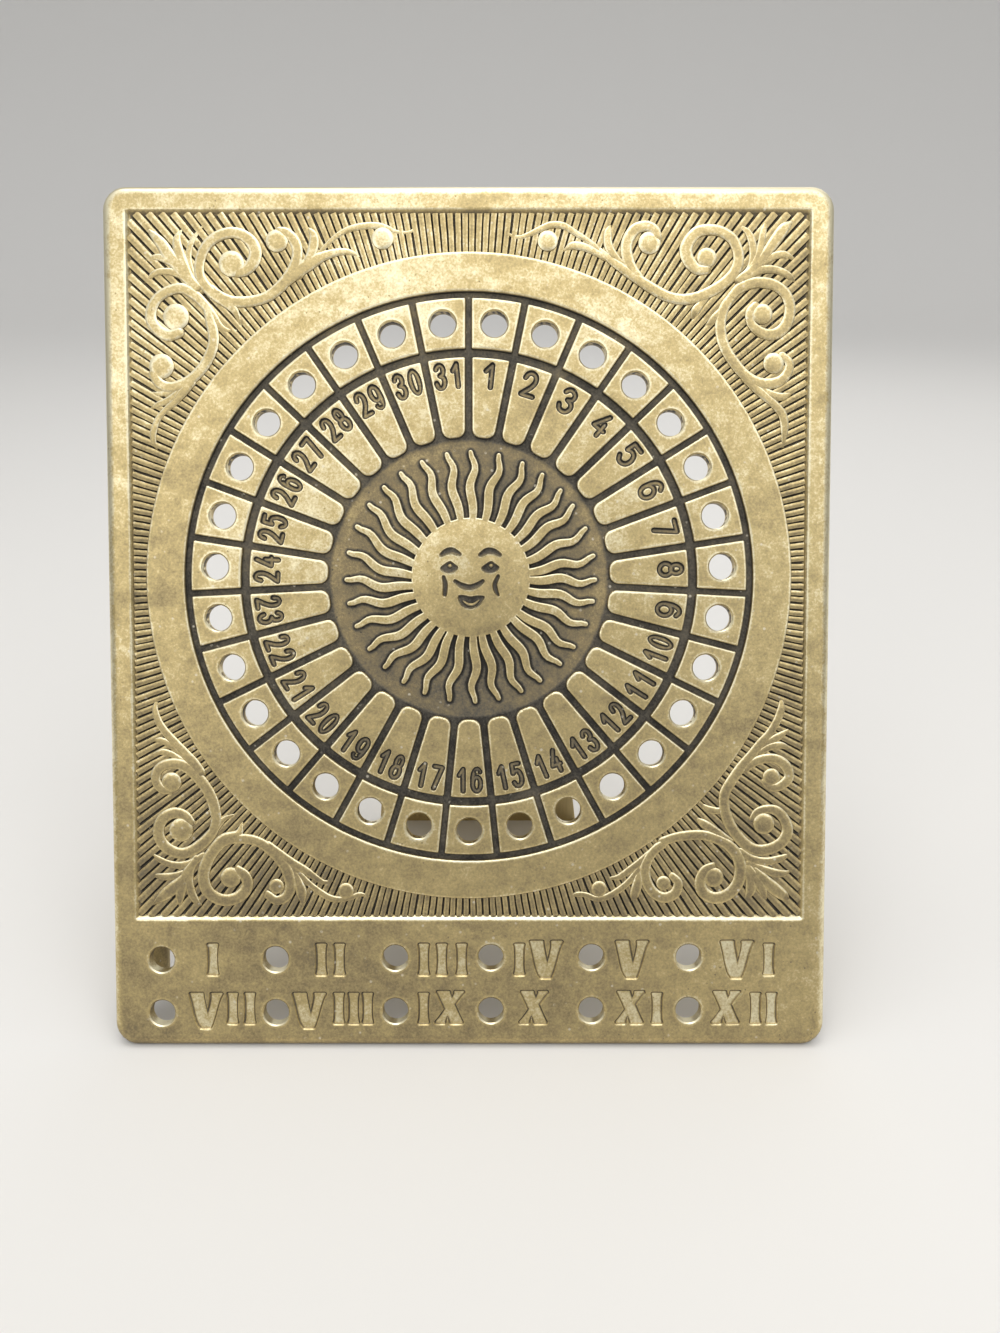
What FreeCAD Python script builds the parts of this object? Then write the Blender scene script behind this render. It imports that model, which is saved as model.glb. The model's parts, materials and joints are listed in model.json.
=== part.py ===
import FreeCAD, Part
import Sketcher
import math
import os

# Perpetual desk calendar: a cast brass face plate that leans back on a folding strut.
# Plate frame: origin at the middle of the plate's lower back edge, x to the right,
# y up the plate, z out of its front. All lengths are in millimetres, angles in degrees.

SIZES = {
    "plate_width": 111.2,
    "plate_height": 132.4,
    "plate_thickness": 2.2,
    "plate_corner_radius": 3.6,
    "front_edge_radius": 1.5,
    "lean_angle": 21.56,
    "rest_flat_width": 1.0,
    "relief_depth": 0.7,
    "rim_width": 3.75,
    "band_height": 20.1,
    "dial_height": 72.9,
    "dial_ring_outer_radius": 49.6,
    "dial_ring_inner_radius": 43.5,
    "cell_outer_radius": 42.7,
    "cell_inner_radius": 34.9,
    "petal_outer_radius": 33.8,
    "petal_inner_radius": 21.3,
    "petal_end_radius": 1.9,
    "groove_width": 0.75,
    "hole_circle_radius": 38.9,
    "peg_hole_diameter": 4.0,
    "day_count": 31,
    "sun_shift": 0.3,
    "sun_disc_radius": 9.2,
    "ray_tip_radius": 19.5,
    "ray_base_width": 1.15,
    "ray_middle_width": 1.5,
    "ray_tip_width": 0.85,
    "ray_wave_height": 0.36,
    "month_row_spacing": 8.41,
    "month_first_row_height": 5.76,
    "hinge_height": 92.3,
    "hinge_pad_thickness": 1.8,
    "hinge_leaf_width": 30.0,
    "hinge_leaf_length": 16.0,
    "hinge_leaf_thickness": 1.2,
    "hinge_leaf_corner_radius": 2.0,
    "hinge_barrel_radius": 2.5,
    "hinge_pin_radius": 1.25,
    "hinge_pin_head_radius": 1.9,
    "hinge_pin_head_length": 0.7,
    "strut_knuckle_width": 16.0,
    "strut_length": 88.0,
    "strut_top_width": 22.0,
    "strut_foot_width": 42.0,
    "strut_thickness": 1.4,
    "strut_neck_length": 3.4,
    "strut_shoulder_length": 3.0,
    "strut_corner_radius": 3.0,
    "strut_rib_width": 5.0,
    "strut_rib_height": 0.8,
    "strut_rib_margin": 14.0,
    "stop_tongue_width": 12.0,
    "stop_tongue_length": 8.0,
    "screw_radius": 1.0,
    "screw_length": 3.6,
    "screw_head_radius": 1.9,
    "screw_head_height": 1.3,
    "screw_slot_width": 0.5,
    "screw_slot_depth": 0.6,
    "screw_edge_margin": 4.0,
    "screw_row_spacing": 6.0,
    "socket_base_height": 8.5,
    "socket_length": 9.0,
    "socket_wall": 0.9,
    "socket_bore_depth": 5.0,
    "socket_stand_off": 4.4,
    "socket_edge_margin": 0.9,
    "peg_shank_length": 4.2,
    "peg_tip_length": 0.5,
    "peg_collar_radius": 2.6,
    "peg_collar_height": 0.8,
    "peg_neck_radius": 1.5,
    "peg_neck_height": 2.0,
    "peg_knob_radius": 2.7,
    "pin_clearance": 0.03,
    "running_clearance": 0.06,
    "side_clearance": 0.3,
    "face_clearance": 0.1,
    "overrun": 1.0,
}

# One unit of the scrollwork tables, and the scrollwork's height over the field's floor,
# as shares of the plate's width and of the relief's depth
SCROLL_UNIT_SHARE = 1 / 111.2
SCROLL_HEIGHT_SHARE = 0.85

# The month holes' columns, from the plate's middle, as shares of its width. The holes were
# drilled by hand: how far each column lies below the last, as shares of the rows' spacing.
MONTH_COLUMN_SHARES = (-0.4315, -0.2717, -0.104, 0.0301, 0.1713, 0.3077)
MONTH_DROP_SHARES = (0.051, 0.042, 0.014, 0.006, 0, 0)

# Each ray of the sun: the angle of its root and of its tip, clockwise from the top.
# Its sides sway through three half waves, which shorten towards the tip, and swell between
# the root and the tip.
RAY_HALF_WAVES = 3
RAY_WAVE_PACE = 1.58
RAY_SWELL_PACE = 0.8
RAY_STATIONS = 12
RAY_ANGLES = (
    (2, 0), (14, 13), (27, 24.5), (38.5, 35), (50.5, 46), (61.5, 55), (74, 67), (85, 80),
    (92.5, 91), (103, 101), (114, 112), (126, 124), (134, 134), (147, 146), (157.5, 156),
    (169, 167), (177.5, 178), (189, 190), (200, 202), (208.5, 213), (219, 224), (229.8, 235),
    (241, 247), (252, 258), (261.5, 269), (271.5, 281.5), (283, 294), (295, 305.5),
    (308, 316), (322, 326), (337, 337), (350, 349),
)

# The corner scrollwork, stroke by stroke: x, y and width at each point along a stroke, and
# x, y and radius of each curl's eye, in scroll units from the dial's centre. The left
# corners are written out, and the right corners mirror them.
UPPER_STROKE_SHARES = (
    ((-34.6, 38.4, 0.3), (-35.5, 40.7, 1.1), (-37.6, 42.6, 1.6), (-40.0, 44.6, 1.6),
     (-40.9, 47.4, 1.5), (-39.9, 50.1, 1.5), (-38.1, 51.8, 1.6), (-35.6, 52.4, 1.6),
     (-33.3, 51.4, 1.8), (-32.2, 49.4, 1.9), (-32.9, 47.4, 1.9), (-34.9, 46.3, 1.5)),
    ((-38.4, 43.4, 1.2), (-36.0, 42.1, 1.6), (-33.4, 42.0, 1.6), (-30.5, 42.8, 1.6),
     (-28.0, 44.7, 1.7), (-26.3, 47.3, 1.7), (-25.9, 49.8, 1.6), (-26.7, 51.7, 1.5),
     (-28.7, 52.2, 1.3)),
    ((-29.2, 43.6, 1.3), (-26.6, 46.0, 1.6), (-24.0, 47.8, 1.9), (-22.0, 48.8, 1.3),
     (-20.0, 49.4, 1.1), (-18.2, 49.5, 0.9), (-16.6, 48.8, 0.3)),
    ((-23.4, 48.7, 0.7), (-21.0, 51.0, 0.7), (-18.6, 52.7, 0.9), (-16.0, 53.3, 1.0),
     (-13.4, 53.3, 0.9), (-11.0, 52.6, 0.6), (-9.0, 52.5, 0.4), (-7.9, 53.2, 0.2)),
    ((-25.3, 46.6, 1.2), (-24.1, 48.5, 1.3), (-23.5, 50.3, 1.5), (-23.5, 52.0, 1.2),
     (-24.5, 53.2, 0.3)),
    ((-40.6, 43.8, 0.9), (-42.1, 46.6, 1.0), (-42.4, 49.0, 0.9), (-41.6, 51.4, 0.8),
     (-40.1, 53.6, 0.2)),
    ((-42.4, 45.4, 1.6), (-43.5, 48.2, 1.6), (-44.1, 50.8, 1.3), (-43.3, 52.9, 0.2)),
    ((-42.6, 45.6, 2.0), (-45.1, 48.7, 1.9), (-47.0, 51.3, 1.5), (-48.8, 53.1, 0.2)),
    ((-43.4, 47.1, 1.4), (-45.5, 48.3, 1.3), (-47.3, 48.7, 0.9), (-48.9, 48.3, 0.2)),
    ((-41.6, 44.6, 1.7), (-44.0, 46.2, 1.3), (-46.2, 46.6, 1.0), (-48.0, 46.0, 0.7),
     (-49.1, 45.0, 0.2)),
    ((-35.3, 37.8, 0.2), (-37.4, 38.1, 0.9), (-39.1, 40.4, 1.2), (-41.3, 42.8, 1.4),
     (-44.0, 44.0, 1.5), (-46.5, 43.0, 1.5), (-48.1, 40.9, 1.6), (-47.9, 38.3, 1.7),
     (-45.9, 37.0, 1.7), (-43.8, 37.5, 1.5)),
    ((-39.6, 41.0, 1.3), (-38.8, 37.5, 1.6), (-39.3, 34.0, 1.6), (-41.2, 31.3, 1.6),
     (-43.8, 29.5, 1.6), (-46.4, 29.4, 1.5), (-48.0, 30.9, 1.4)),
    ((-44.5, 28.9, 1.0), (-46.6, 28.3, 0.8), (-48.7, 28.5, 0.2)),
    ((-43.4, 28.8, 1.2), (-45.8, 27.2, 1.0), (-48.5, 26.0, 0.3)),
    ((-42.6, 29.6, 1.4), (-44.9, 26.9, 1.2), (-47.0, 24.9, 1.0), (-48.1, 22.5, 1.0),
     (-47.7, 19.9, 0.3)),
)
UPPER_EYE_SHARES = (
    (-35.9, 47.7, 1.9), (-29.0, 51.1, 1.6), (-13.0, 51.5, 1.6), (-44.4, 39.7, 1.95),
    (-46.7, 32.4, 1.9),
)
LOWER_STROKE_SHARES = (
    ((-35.5, -38.2, 0.6), (-37.6, -40.3, 1.5), (-40.0, -42.6, 1.7), (-41.5, -45.6, 1.7),
     (-40.6, -48.5, 1.8), (-38.0, -49.9, 1.8), (-35.5, -49.2, 1.8), (-34.3, -47.0, 1.7),
     (-35.6, -45.1, 1.3)),
    ((-38.4, -40.8, 1.2), (-36.0, -39.8, 1.5), (-33.0, -39.9, 1.5), (-30.4, -41.6, 1.6),
     (-28.4, -44.0, 1.7), (-27.6, -47.0, 1.7), (-28.8, -49.2, 1.5), (-30.9, -49.1, 1.3)),
    ((-31.0, -41.2, 1.3), (-27.6, -43.9, 1.7), (-24.9, -45.7, 1.4), (-22.8, -46.9, 1.0),
     (-21.5, -46.8, 0.3)),
    ((-27.4, -44.6, 1.1), (-25.3, -47.1, 1.0), (-22.6, -49.1, 1.0), (-19.8, -49.9, 0.9),
     (-17.4, -49.2, 0.7), (-15.7, -49.3, 0.3)),
    ((-27.2, -45.4, 1.0), (-26.9, -47.6, 1.2), (-25.9, -50.2, 0.5)),
    ((-42.4, -43.6, 1.2), (-43.6, -46.4, 1.4), (-43.4, -48.6, 1.3), (-41.9, -50.2, 0.5)),
    ((-42.9, -43.8, 1.4), (-44.9, -46.2, 1.5), (-45.2, -48.4, 1.4), (-44.9, -50.4, 0.5)),
    ((-44.2, -45.4, 1.0), (-46.0, -47.3, 1.7), (-47.6, -49.0, 1.7), (-49.4, -50.8, 0.3)),
    ((-43.6, -45.4, 1.0), (-46.6, -46.0, 1.3), (-49.2, -45.8, 0.9)),
    ((-41.8, -43.0, 1.2), (-43.9, -44.2, 1.3), (-46.4, -44.2, 1.2), (-49.1, -42.7, 0.5)),
    ((-36.6, -36.4, 0.3), (-38.6, -38.0, 1.0), (-40.7, -40.2, 1.6), (-43.2, -42.2, 1.7),
     (-46.0, -41.9, 1.7), (-47.9, -39.8, 1.7), (-47.7, -37.2, 1.7), (-45.6, -36.0, 1.6),
     (-43.7, -36.9, 1.3)),
    ((-40.0, -39.4, 1.3), (-39.2, -36.2, 1.6), (-39.6, -32.8, 1.7), (-41.4, -30.0, 1.7),
     (-44.0, -28.4, 1.5), (-46.6, -28.6, 1.4), (-48.5, -30.4, 1.4), (-47.9, -32.7, 1.4),
     (-46.0, -33.0, 1.2)),
    ((-43.2, -28.2, 0.9), (-45.6, -26.7, 1.1), (-47.4, -26.4, 1.1), (-49.1, -26.9, 0.4)),
    ((-43.4, -27.4, 0.9), (-45.8, -25.4, 1.0), (-47.6, -24.5, 0.9), (-49.2, -24.8, 0.3)),
    ((-41.6, -29.6, 1.4), (-44.6, -26.2, 1.3), (-47.2, -23.4, 1.1), (-48.5, -20.9, 1.0),
     (-48.2, -18.6, 0.3)),
)
LOWER_EYE_SHARES = (
    (-37.2, -46.3, 1.65), (-30.0, -47.6, 1.4), (-19.1, -48.5, 1.2), (-44.4, -38.6, 1.8),
    (-46.1, -31.6, 1.5),
)

# How near two values are that count as equal
MATCH_TOLERANCE = 1e-6

doc = FreeCAD.newDocument("perpetual_desk_calendar")
os.makedirs("parts", exist_ok=True)


def fill_sheet():
    sheet = doc.addObject("Spreadsheet::Sheet", "Sizes")
    for row, (alias, value) in enumerate(SIZES.items(), start=1):
        sheet.set(f"A{row}", alias)
        sheet.set(f"B{row}", str(value))
        sheet.setAlias(f"B{row}", alias)
    doc.recompute()
    return sheet


sheet = fill_sheet()


class Size:
    """A length that keeps its number together with the sheet expression that gives it."""

    def __init__(self, value, text):
        self.value = value
        self.text = text

    def join(self, other, sign, value):
        text = other.text if isinstance(other, Size) else str(other)
        return Size(value, f"({self.text} {sign} {text})")

    def __add__(self, other):
        return self.join(other, "+", self.value + number(other))

    def __sub__(self, other):
        return self.join(other, "-", self.value - number(other))

    def __mul__(self, other):
        return self.join(other, "*", self.value * number(other))

    def __truediv__(self, other):
        return self.join(other, "/", self.value / number(other))

    def __neg__(self):
        return Size(-self.value, f"(-{self.text})")


def number(item):
    return item.value if isinstance(item, Size) else float(item)


def size(alias):
    return Size(float(sheet.get(alias)), f"Sizes.{alias}")


# Sheet values that several pieces share
zero = Size(0.0, "0")
plate_width = size("plate_width")
plate_height = size("plate_height")
plate_thickness = size("plate_thickness")
relief_depth = size("relief_depth")
floor_height = plate_thickness - relief_depth
dial_height = size("dial_height")
peg_hole_radius = size("peg_hole_diameter") / 2
peg_shank_radius = peg_hole_radius - size("running_clearance")
barrel_radius = size("hinge_barrel_radius")
pin_radius = size("hinge_pin_radius")
leaf_thickness = size("hinge_leaf_thickness")
leaf_length = size("hinge_leaf_length")
pad_thickness = size("hinge_pad_thickness")
hinge_height = size("hinge_height")
hinge_depth = pad_thickness + barrel_radius
strut_thickness = size("strut_thickness")
strut_length = size("strut_length")
knuckle_width = size("strut_knuckle_width")
screw_radius = size("screw_radius")
socket_radius = peg_hole_radius + size("socket_wall")
socket_x = plate_width / 2 - size("socket_edge_margin") - socket_radius
socket_depth = size("socket_stand_off")
socket_top = size("socket_base_height") + size("socket_length")
side_clearance = size("side_clearance")
overrun = size("overrun")

# Screw places on the hinge leaf, from the pin's axis
screw_x = size("hinge_leaf_width") / 2 - size("screw_edge_margin")
screw_high = leaf_length - size("screw_edge_margin")
screw_low = screw_high - size("screw_row_spacing")

# Stance: the lean of the plate, its filed rest edge and the strut's opening
lean = math.radians(number(size("lean_angle")))
rest_flat = number(size("rest_flat_width"))
filed_rise = rest_flat * math.sin(lean) * math.cos(lean)
filed_middle = (filed_rise * math.tan(lean) - filed_rise / math.tan(lean)) / 2
plate_place = FreeCAD.Placement(
    FreeCAD.Vector(0, -filed_middle, -filed_rise),
    FreeCAD.Rotation(FreeCAD.Vector(1, 0, 0), 90 - math.degrees(lean)),
)
pin_place = plate_place.multVec(FreeCAD.Vector(0, hinge_height.value, -hinge_depth.value))
foot_offset = barrel_radius.value - strut_thickness.value / 2
foot_reach = math.hypot(strut_length.value, foot_offset)
strut_angle = math.atan2(foot_offset, strut_length.value) + math.acos(pin_place.z / foot_reach)
opening_angle = strut_angle + lean


def on_plate(x, y, z, rotation=None):
    local = FreeCAD.Placement(FreeCAD.Vector(x, y, z), rotation or FreeCAD.Rotation())
    return plate_place.multiply(local)


def new_body(name):
    body = doc.addObject("PartDesign::Body", name)
    body.Label = name
    return body


def new_sketch(body, name, role, rise=zero, shift=zero):
    """A sketch on an origin plane of its body, raised by rise and moved up the page by shift."""
    plane = next(item for item in body.Origin.OriginFeatures if item.Role == role)
    sketch = body.newObject("Sketcher::SketchObject", name)
    sketch.AttachmentSupport = [(plane, "")]
    sketch.MapMode = "FlatFace"
    sketch.setExpression("AttachmentOffset.Base.z", rise.text)
    sketch.setExpression("AttachmentOffset.Base.y", shift.text)
    return sketch


def fix_point(sketch, shape, end, point):
    """Hold one point of a shape at sheet distances from the sketch's origin."""
    kinds = (("DistanceX", point[0], -2), ("DistanceY", point[1], -1))
    for kind, distance, axis in kinds:
        if distance.value == 0:
            sketch.addConstraint(Sketcher.Constraint("PointOnObject", shape, end, axis))
            continue
        if distance.value > 0:
            rule = Sketcher.Constraint(kind, -1, 1, shape, end, distance.value)
        else:
            rule = Sketcher.Constraint(kind, shape, end, -1, 1, -distance.value)
        index = sketch.addConstraint(rule)
        text = distance.text if distance.value > 0 else f"-({distance.text})"
        sketch.setExpression(f"Constraints[{index}]", text)


def add_circle(sketch, x, y, radius):
    centre = FreeCAD.Vector(x.value, y.value, 0)
    shape = sketch.addGeometry(Part.Circle(centre, FreeCAD.Vector(0, 0, 1), radius.value))
    fix_point(sketch, shape, 3, (x, y))
    index = sketch.addConstraint(Sketcher.Constraint("Radius", shape, radius.value))
    sketch.setExpression(f"Constraints[{index}]", radius.text)


def add_outline(sketch, points):
    """A closed outline of straight sides through points given in sheet sizes."""
    corners = [FreeCAD.Vector(x.value, y.value, 0) for x, y in points]
    sides = []
    for start, finish in zip(corners, corners[1:] + corners[:1]):
        sides.append(sketch.addGeometry(Part.LineSegment(start, finish)))
    for side, after in zip(sides, sides[1:] + sides[:1]):
        sketch.addConstraint(Sketcher.Constraint("Coincident", side, 2, after, 1))
    for side, point in zip(sides, points):
        fix_point(sketch, side, 1, point)


def add_rectangle(sketch, left, right, low, high):
    add_outline(sketch, ((left, low), (right, low), (right, high), (left, high)))


def pad(body, sketch, name, length, both_ways=False, backward=False):
    feature = body.newObject("PartDesign::Pad", name)
    feature.Profile = sketch
    feature.Midplane = both_ways
    feature.Reversed = backward
    feature.setExpression("Length", length.text)
    doc.recompute()
    return feature


def pocket(body, sketch, name, depth=None, both_ways=False, backward=False):
    feature = body.newObject("PartDesign::Pocket", name)
    feature.Profile = sketch
    feature.Midplane = both_ways
    feature.Reversed = backward
    if depth is None:
        feature.Type = "ThroughAll"
    else:
        feature.setExpression("Length", depth.text)
    before = body.Shape.Volume
    doc.recompute()
    if body.Shape.Volume >= before:
        raise RuntimeError(f"{name} cuts nothing")
    return feature


def round_edges(body, name, radius, wanted):
    """Round every edge of the body's tip that the test wanted picks."""
    base = body.Tip
    names = [f"Edge{i}" for i, edge in enumerate(base.Shape.Edges, start=1) if wanted(edge)]
    feature = body.newObject("PartDesign::Fillet", name)
    feature.Base = (base, names)
    feature.setExpression("Radius", radius.text)
    doc.recompute()
    return feature


def polar_pattern(body, name, features, sketch, count):
    pattern = body.newObject("PartDesign::PolarPattern", name)
    pattern.Originals = features
    pattern.Axis = (sketch, ["N_Axis"])
    pattern.Angle = 360
    pattern.setExpression("Occurrences", count.text)
    body.Tip = pattern
    doc.recompute()
    return pattern


def runs_along(edge, direction):
    return len(edge.Vertexes) == 2 and edge.Curve.TypeId == "Part::GeomLine" and (
        abs(abs(edge.tangentAt(edge.FirstParameter).dot(direction)) - 1) < MATCH_TOLERANCE)


def build_plate_blank():
    """The plate with its rounded corners, filed rest edge, sunk field, dial bands and holes."""
    body = new_body("plate_blank")
    half_width = plate_width / 2
    outline = new_sketch(body, "plate_outline", "XY_Plane")
    add_rectangle(outline, -half_width, half_width, zero, plate_height)
    pad(body, outline, "plate_slab", plate_thickness)
    upright = FreeCAD.Vector(0, 0, 1)
    round_edges(body, "plate_corners", size("plate_corner_radius"),
                lambda edge: runs_along(edge, upright))
    front = plate_thickness.value
    round_edges(body, "plate_front_edge", size("front_edge_radius"),
                lambda edge: min(v.Z for v in edge.Vertexes) > front - front / 10)
    cut_rest_edge(body)
    cut_relief(body)
    raise_dial(body)
    cut_month_holes(body)
    add_hinge_pad(body)
    add_peg_sockets(body)
    return body


def cut_rest_edge(body):
    sketch = new_sketch(body, "rest_edge_profile", "YZ_Plane")
    along_back = size("rest_flat_width") * math.sin(lean)
    along_bottom = size("rest_flat_width") * math.cos(lean)
    add_outline(sketch, ((zero, zero), (along_back, zero), (zero, along_bottom)))
    pocket(body, sketch, "rest_edge", plate_width + overrun, both_ways=True)


def cut_relief(body):
    """Sink the rectangular field round the dial's flat ring, and the well inside that ring."""
    field = new_sketch(body, "field_outline", "XY_Plane", plate_thickness)
    half_field = plate_width / 2 - size("rim_width")
    field_top = plate_height - size("rim_width")
    add_rectangle(field, -half_field, half_field, size("band_height"), field_top)
    add_circle(field, zero, dial_height, size("dial_ring_outer_radius"))
    pocket(body, field, "field", relief_depth)
    well = new_sketch(body, "well_outline", "XY_Plane", plate_thickness, dial_height)
    add_circle(well, zero, zero, size("dial_ring_inner_radius"))
    pocket(body, well, "dial_well", relief_depth)


def raise_dial(body):
    """Raise the band of day cells and the band of petals, then part them with radial grooves."""
    bands = new_sketch(body, "band_circles", "XY_Plane", floor_height, dial_height)
    for name in ("cell_outer_radius", "cell_inner_radius", "petal_outer_radius",
                 "petal_inner_radius"):
        add_circle(bands, zero, zero, size(name))
    pad(body, bands, "dial_bands", relief_depth)
    groove = new_sketch(body, "groove_outline", "XY_Plane", plate_thickness, dial_height)
    draw_groove(groove)
    groove_cut = pocket(body, groove, "radial_groove", relief_depth)
    polar_pattern(body, "radial_grooves", [groove_cut], groove, size("day_count"))
    hole = new_sketch(body, "day_hole_circle", "XY_Plane", plate_thickness, dial_height)
    half_step = math.pi / size("day_count").value
    hole_radius = size("hole_circle_radius")
    add_circle(hole, hole_radius * math.sin(half_step), hole_radius * math.cos(half_step),
               peg_hole_radius)
    hole_cut = pocket(body, hole, "day_hole")
    polar_pattern(body, "day_holes", [hole_cut], hole, size("day_count"))


def draw_groove(sketch):
    """A radial groove whose inner mouth flares, which rounds the ends of the petals beside it."""
    half = size("groove_width") / 2
    flare = size("petal_end_radius")
    petal_end = size("petal_inner_radius")
    top = (size("dial_ring_inner_radius") + size("cell_outer_radius")) / 2
    mouth = petal_end - overrun / 2
    bend = petal_end + flare
    wide = half + flare
    corners = ((wide, mouth), (wide, petal_end), (half, bend), (half, top),
               (-half, top), (-half, bend), (-wide, petal_end), (-wide, mouth))
    quarter = math.pi / 2
    arcs = {1: (wide, 2 * quarter), 5: (-wide, 3 * quarter)}
    places = [FreeCAD.Vector(x.value, y.value, 0) for x, y in corners]
    sides = []
    for i, (start, finish) in enumerate(zip(places, places[1:] + places[:1])):
        if i in arcs:
            middle, low = arcs[i]
            circle = Part.Circle(FreeCAD.Vector(middle.value, bend.value, 0),
                                 FreeCAD.Vector(0, 0, 1), flare.value)
            shape = sketch.addGeometry(Part.ArcOfCircle(circle, low, low + quarter))
            sides.append((shape, 2, 1))
        else:
            sides.append((sketch.addGeometry(Part.LineSegment(start, finish)), 1, 2))
    for side, after in zip(sides, sides[1:] + sides[:1]):
        sketch.addConstraint(Sketcher.Constraint("Coincident", side[0], side[2],
                                                 after[0], after[1]))
    for side, corner in zip(sides, corners):
        fix_point(sketch, side[0], side[1], corner)


def cut_month_holes(body):
    sketch = new_sketch(body, "month_hole_circles", "XY_Plane", plate_thickness)
    for row in range(2):
        for share, drop_share in zip(MONTH_COLUMN_SHARES, MONTH_DROP_SHARES):
            row_height = size("month_first_row_height") + size("month_row_spacing") * row
            drop = size("month_row_spacing") * drop_share
            add_circle(sketch, plate_width * share, row_height - drop, peg_hole_radius)
    pocket(body, sketch, "month_holes")


def add_hinge_pad(body):
    """The cast pad on the plate's back that carries the hinge, with its blind tapped holes."""
    sketch = new_sketch(body, "hinge_pad_outline", "XY_Plane", zero, hinge_height)
    half = size("hinge_leaf_width") / 2 + side_clearance
    low = barrel_radius + side_clearance
    add_rectangle(sketch, -half, half, low, leaf_length + side_clearance)
    pad(body, sketch, "hinge_pad", pad_thickness, backward=True)
    holes = new_sketch(body, "tapped_hole_circles", "XY_Plane", -pad_thickness, hinge_height)
    for x in (-screw_x, screw_x):
        for y in (screw_low, screw_high):
            add_circle(holes, x, y, screw_radius + size("pin_clearance"))
    depth = size("screw_length") - leaf_thickness + size("face_clearance")
    pocket(body, holes, "tapped_holes", depth, backward=True)


def add_peg_sockets(body):
    """Two cast sockets on the plate's back, beside its lower corners, where the pegs are kept."""
    length = size("socket_length")
    base = size("socket_base_height")
    webs = new_sketch(body, "socket_webs", "XZ_Plane", -base)
    bosses = new_sketch(body, "socket_circles", "XZ_Plane", -base)
    bores = new_sketch(body, "socket_bore_circles", "XZ_Plane", -socket_top)
    web_inner = socket_x - socket_radius / 2
    web_outer = socket_x + socket_radius
    for turn in (1, -1):
        edges = (web_inner, web_outer) if turn == 1 else (-web_outer, -web_inner)
        add_rectangle(webs, edges[0], edges[1], -socket_depth, overrun / 4)
        add_circle(bosses, socket_x * turn, -socket_depth, socket_radius)
        add_circle(bores, socket_x * turn, -socket_depth, peg_hole_radius)
    pad(body, webs, "socket_web_pads", length, backward=True)
    pad(body, bosses, "socket_boss_pads", length, backward=True)
    pocket(body, bores, "socket_bores", size("socket_bore_depth"), backward=True)


def ray_outline(root_angle, tip_angle):
    """One wavy ray of the sun: two curved sides, a blunt round tip and a root in the disc."""
    root = size("sun_disc_radius").value - overrun.value / 2
    reach = size("ray_tip_radius").value - root
    wave = size("ray_wave_height").value
    base_half = size("ray_base_width").value / 2
    tip_half = size("ray_tip_width").value / 2
    swell = (size("ray_middle_width").value - base_half - tip_half) / 2
    left = []
    right = []
    for i in range(RAY_STATIONS + 1):
        share = i / RAY_STATIONS
        radius = root + reach * share
        angle = math.radians(root_angle + (tip_angle - root_angle) * share)
        sway = math.cos(RAY_HALF_WAVES * math.pi * share ** RAY_WAVE_PACE)
        wobble = wave * (sway - 1 + 2 * share)
        half = base_half + (tip_half - base_half) * share
        half += swell * math.sin(math.pi * share ** RAY_SWELL_PACE)
        out = FreeCAD.Vector(math.sin(angle), math.cos(angle), 0)
        side = FreeCAD.Vector(math.cos(angle), -math.sin(angle), 0)
        left.append(out * radius + side * (wobble - half))
        right.append(out * radius + side * (wobble + half))
    tip = (left[-1] + right[-1]) / 2 + out * half
    edges = []
    for points in (left, right):
        curve = Part.BSplineCurve()
        curve.interpolate(points)
        edges.append(curve.toShape())
    edges.append(Part.Arc(left[-1], tip, right[-1]).toShape())
    edges.append(Part.LineSegment(left[0], right[0]).toShape())
    return Part.Face(Part.Wire(Part.__sortEdges__(edges)))


def build_sun():
    """The sun in the middle of the dial: a flat disc with wavy rays, raised from the well."""
    centre = FreeCAD.Vector(size("sun_shift").value, dial_height.value + size("sun_shift").value,
                            floor_height.value - overrun.value / 4)
    height = FreeCAD.Vector(0, 0, relief_depth.value + overrun.value / 4)
    disc = Part.makeCylinder(size("sun_disc_radius").value, height.z)
    rays = [ray_outline(*angles).extrude(height) for angles in RAY_ANGLES]
    sun = doc.addObject("Part::Feature", "sun_relief")
    shape = disc.fuse(rays).removeSplitter()
    shape.translate(centre)
    sun.Shape = shape
    return sun


def ribbon(points, height):
    """A raised ribbon along a curved centre line, with its own width at each point."""
    places = [FreeCAD.Vector(x, y, 0) for x, y, width in points]
    spine = Part.BSplineCurve()
    spine.interpolate(places)
    sides = ([], [])
    for place, (x, y, width) in zip(places, points):
        along = spine.tangent(spine.parameter(place))[0]
        across = FreeCAD.Vector(-along.y, along.x, 0) * (width / 2)
        sides[0].append(place + across)
        sides[1].append(place - across)
    edges = []
    for side in sides:
        curve = Part.BSplineCurve()
        curve.interpolate(side)
        edges.append(curve.toShape())
    for end in (0, -1):
        edges.append(Part.LineSegment(sides[0][end], sides[1][end]).toShape())
    return Part.Face(Part.Wire(Part.__sortEdges__(edges))).extrude(height)


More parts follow.
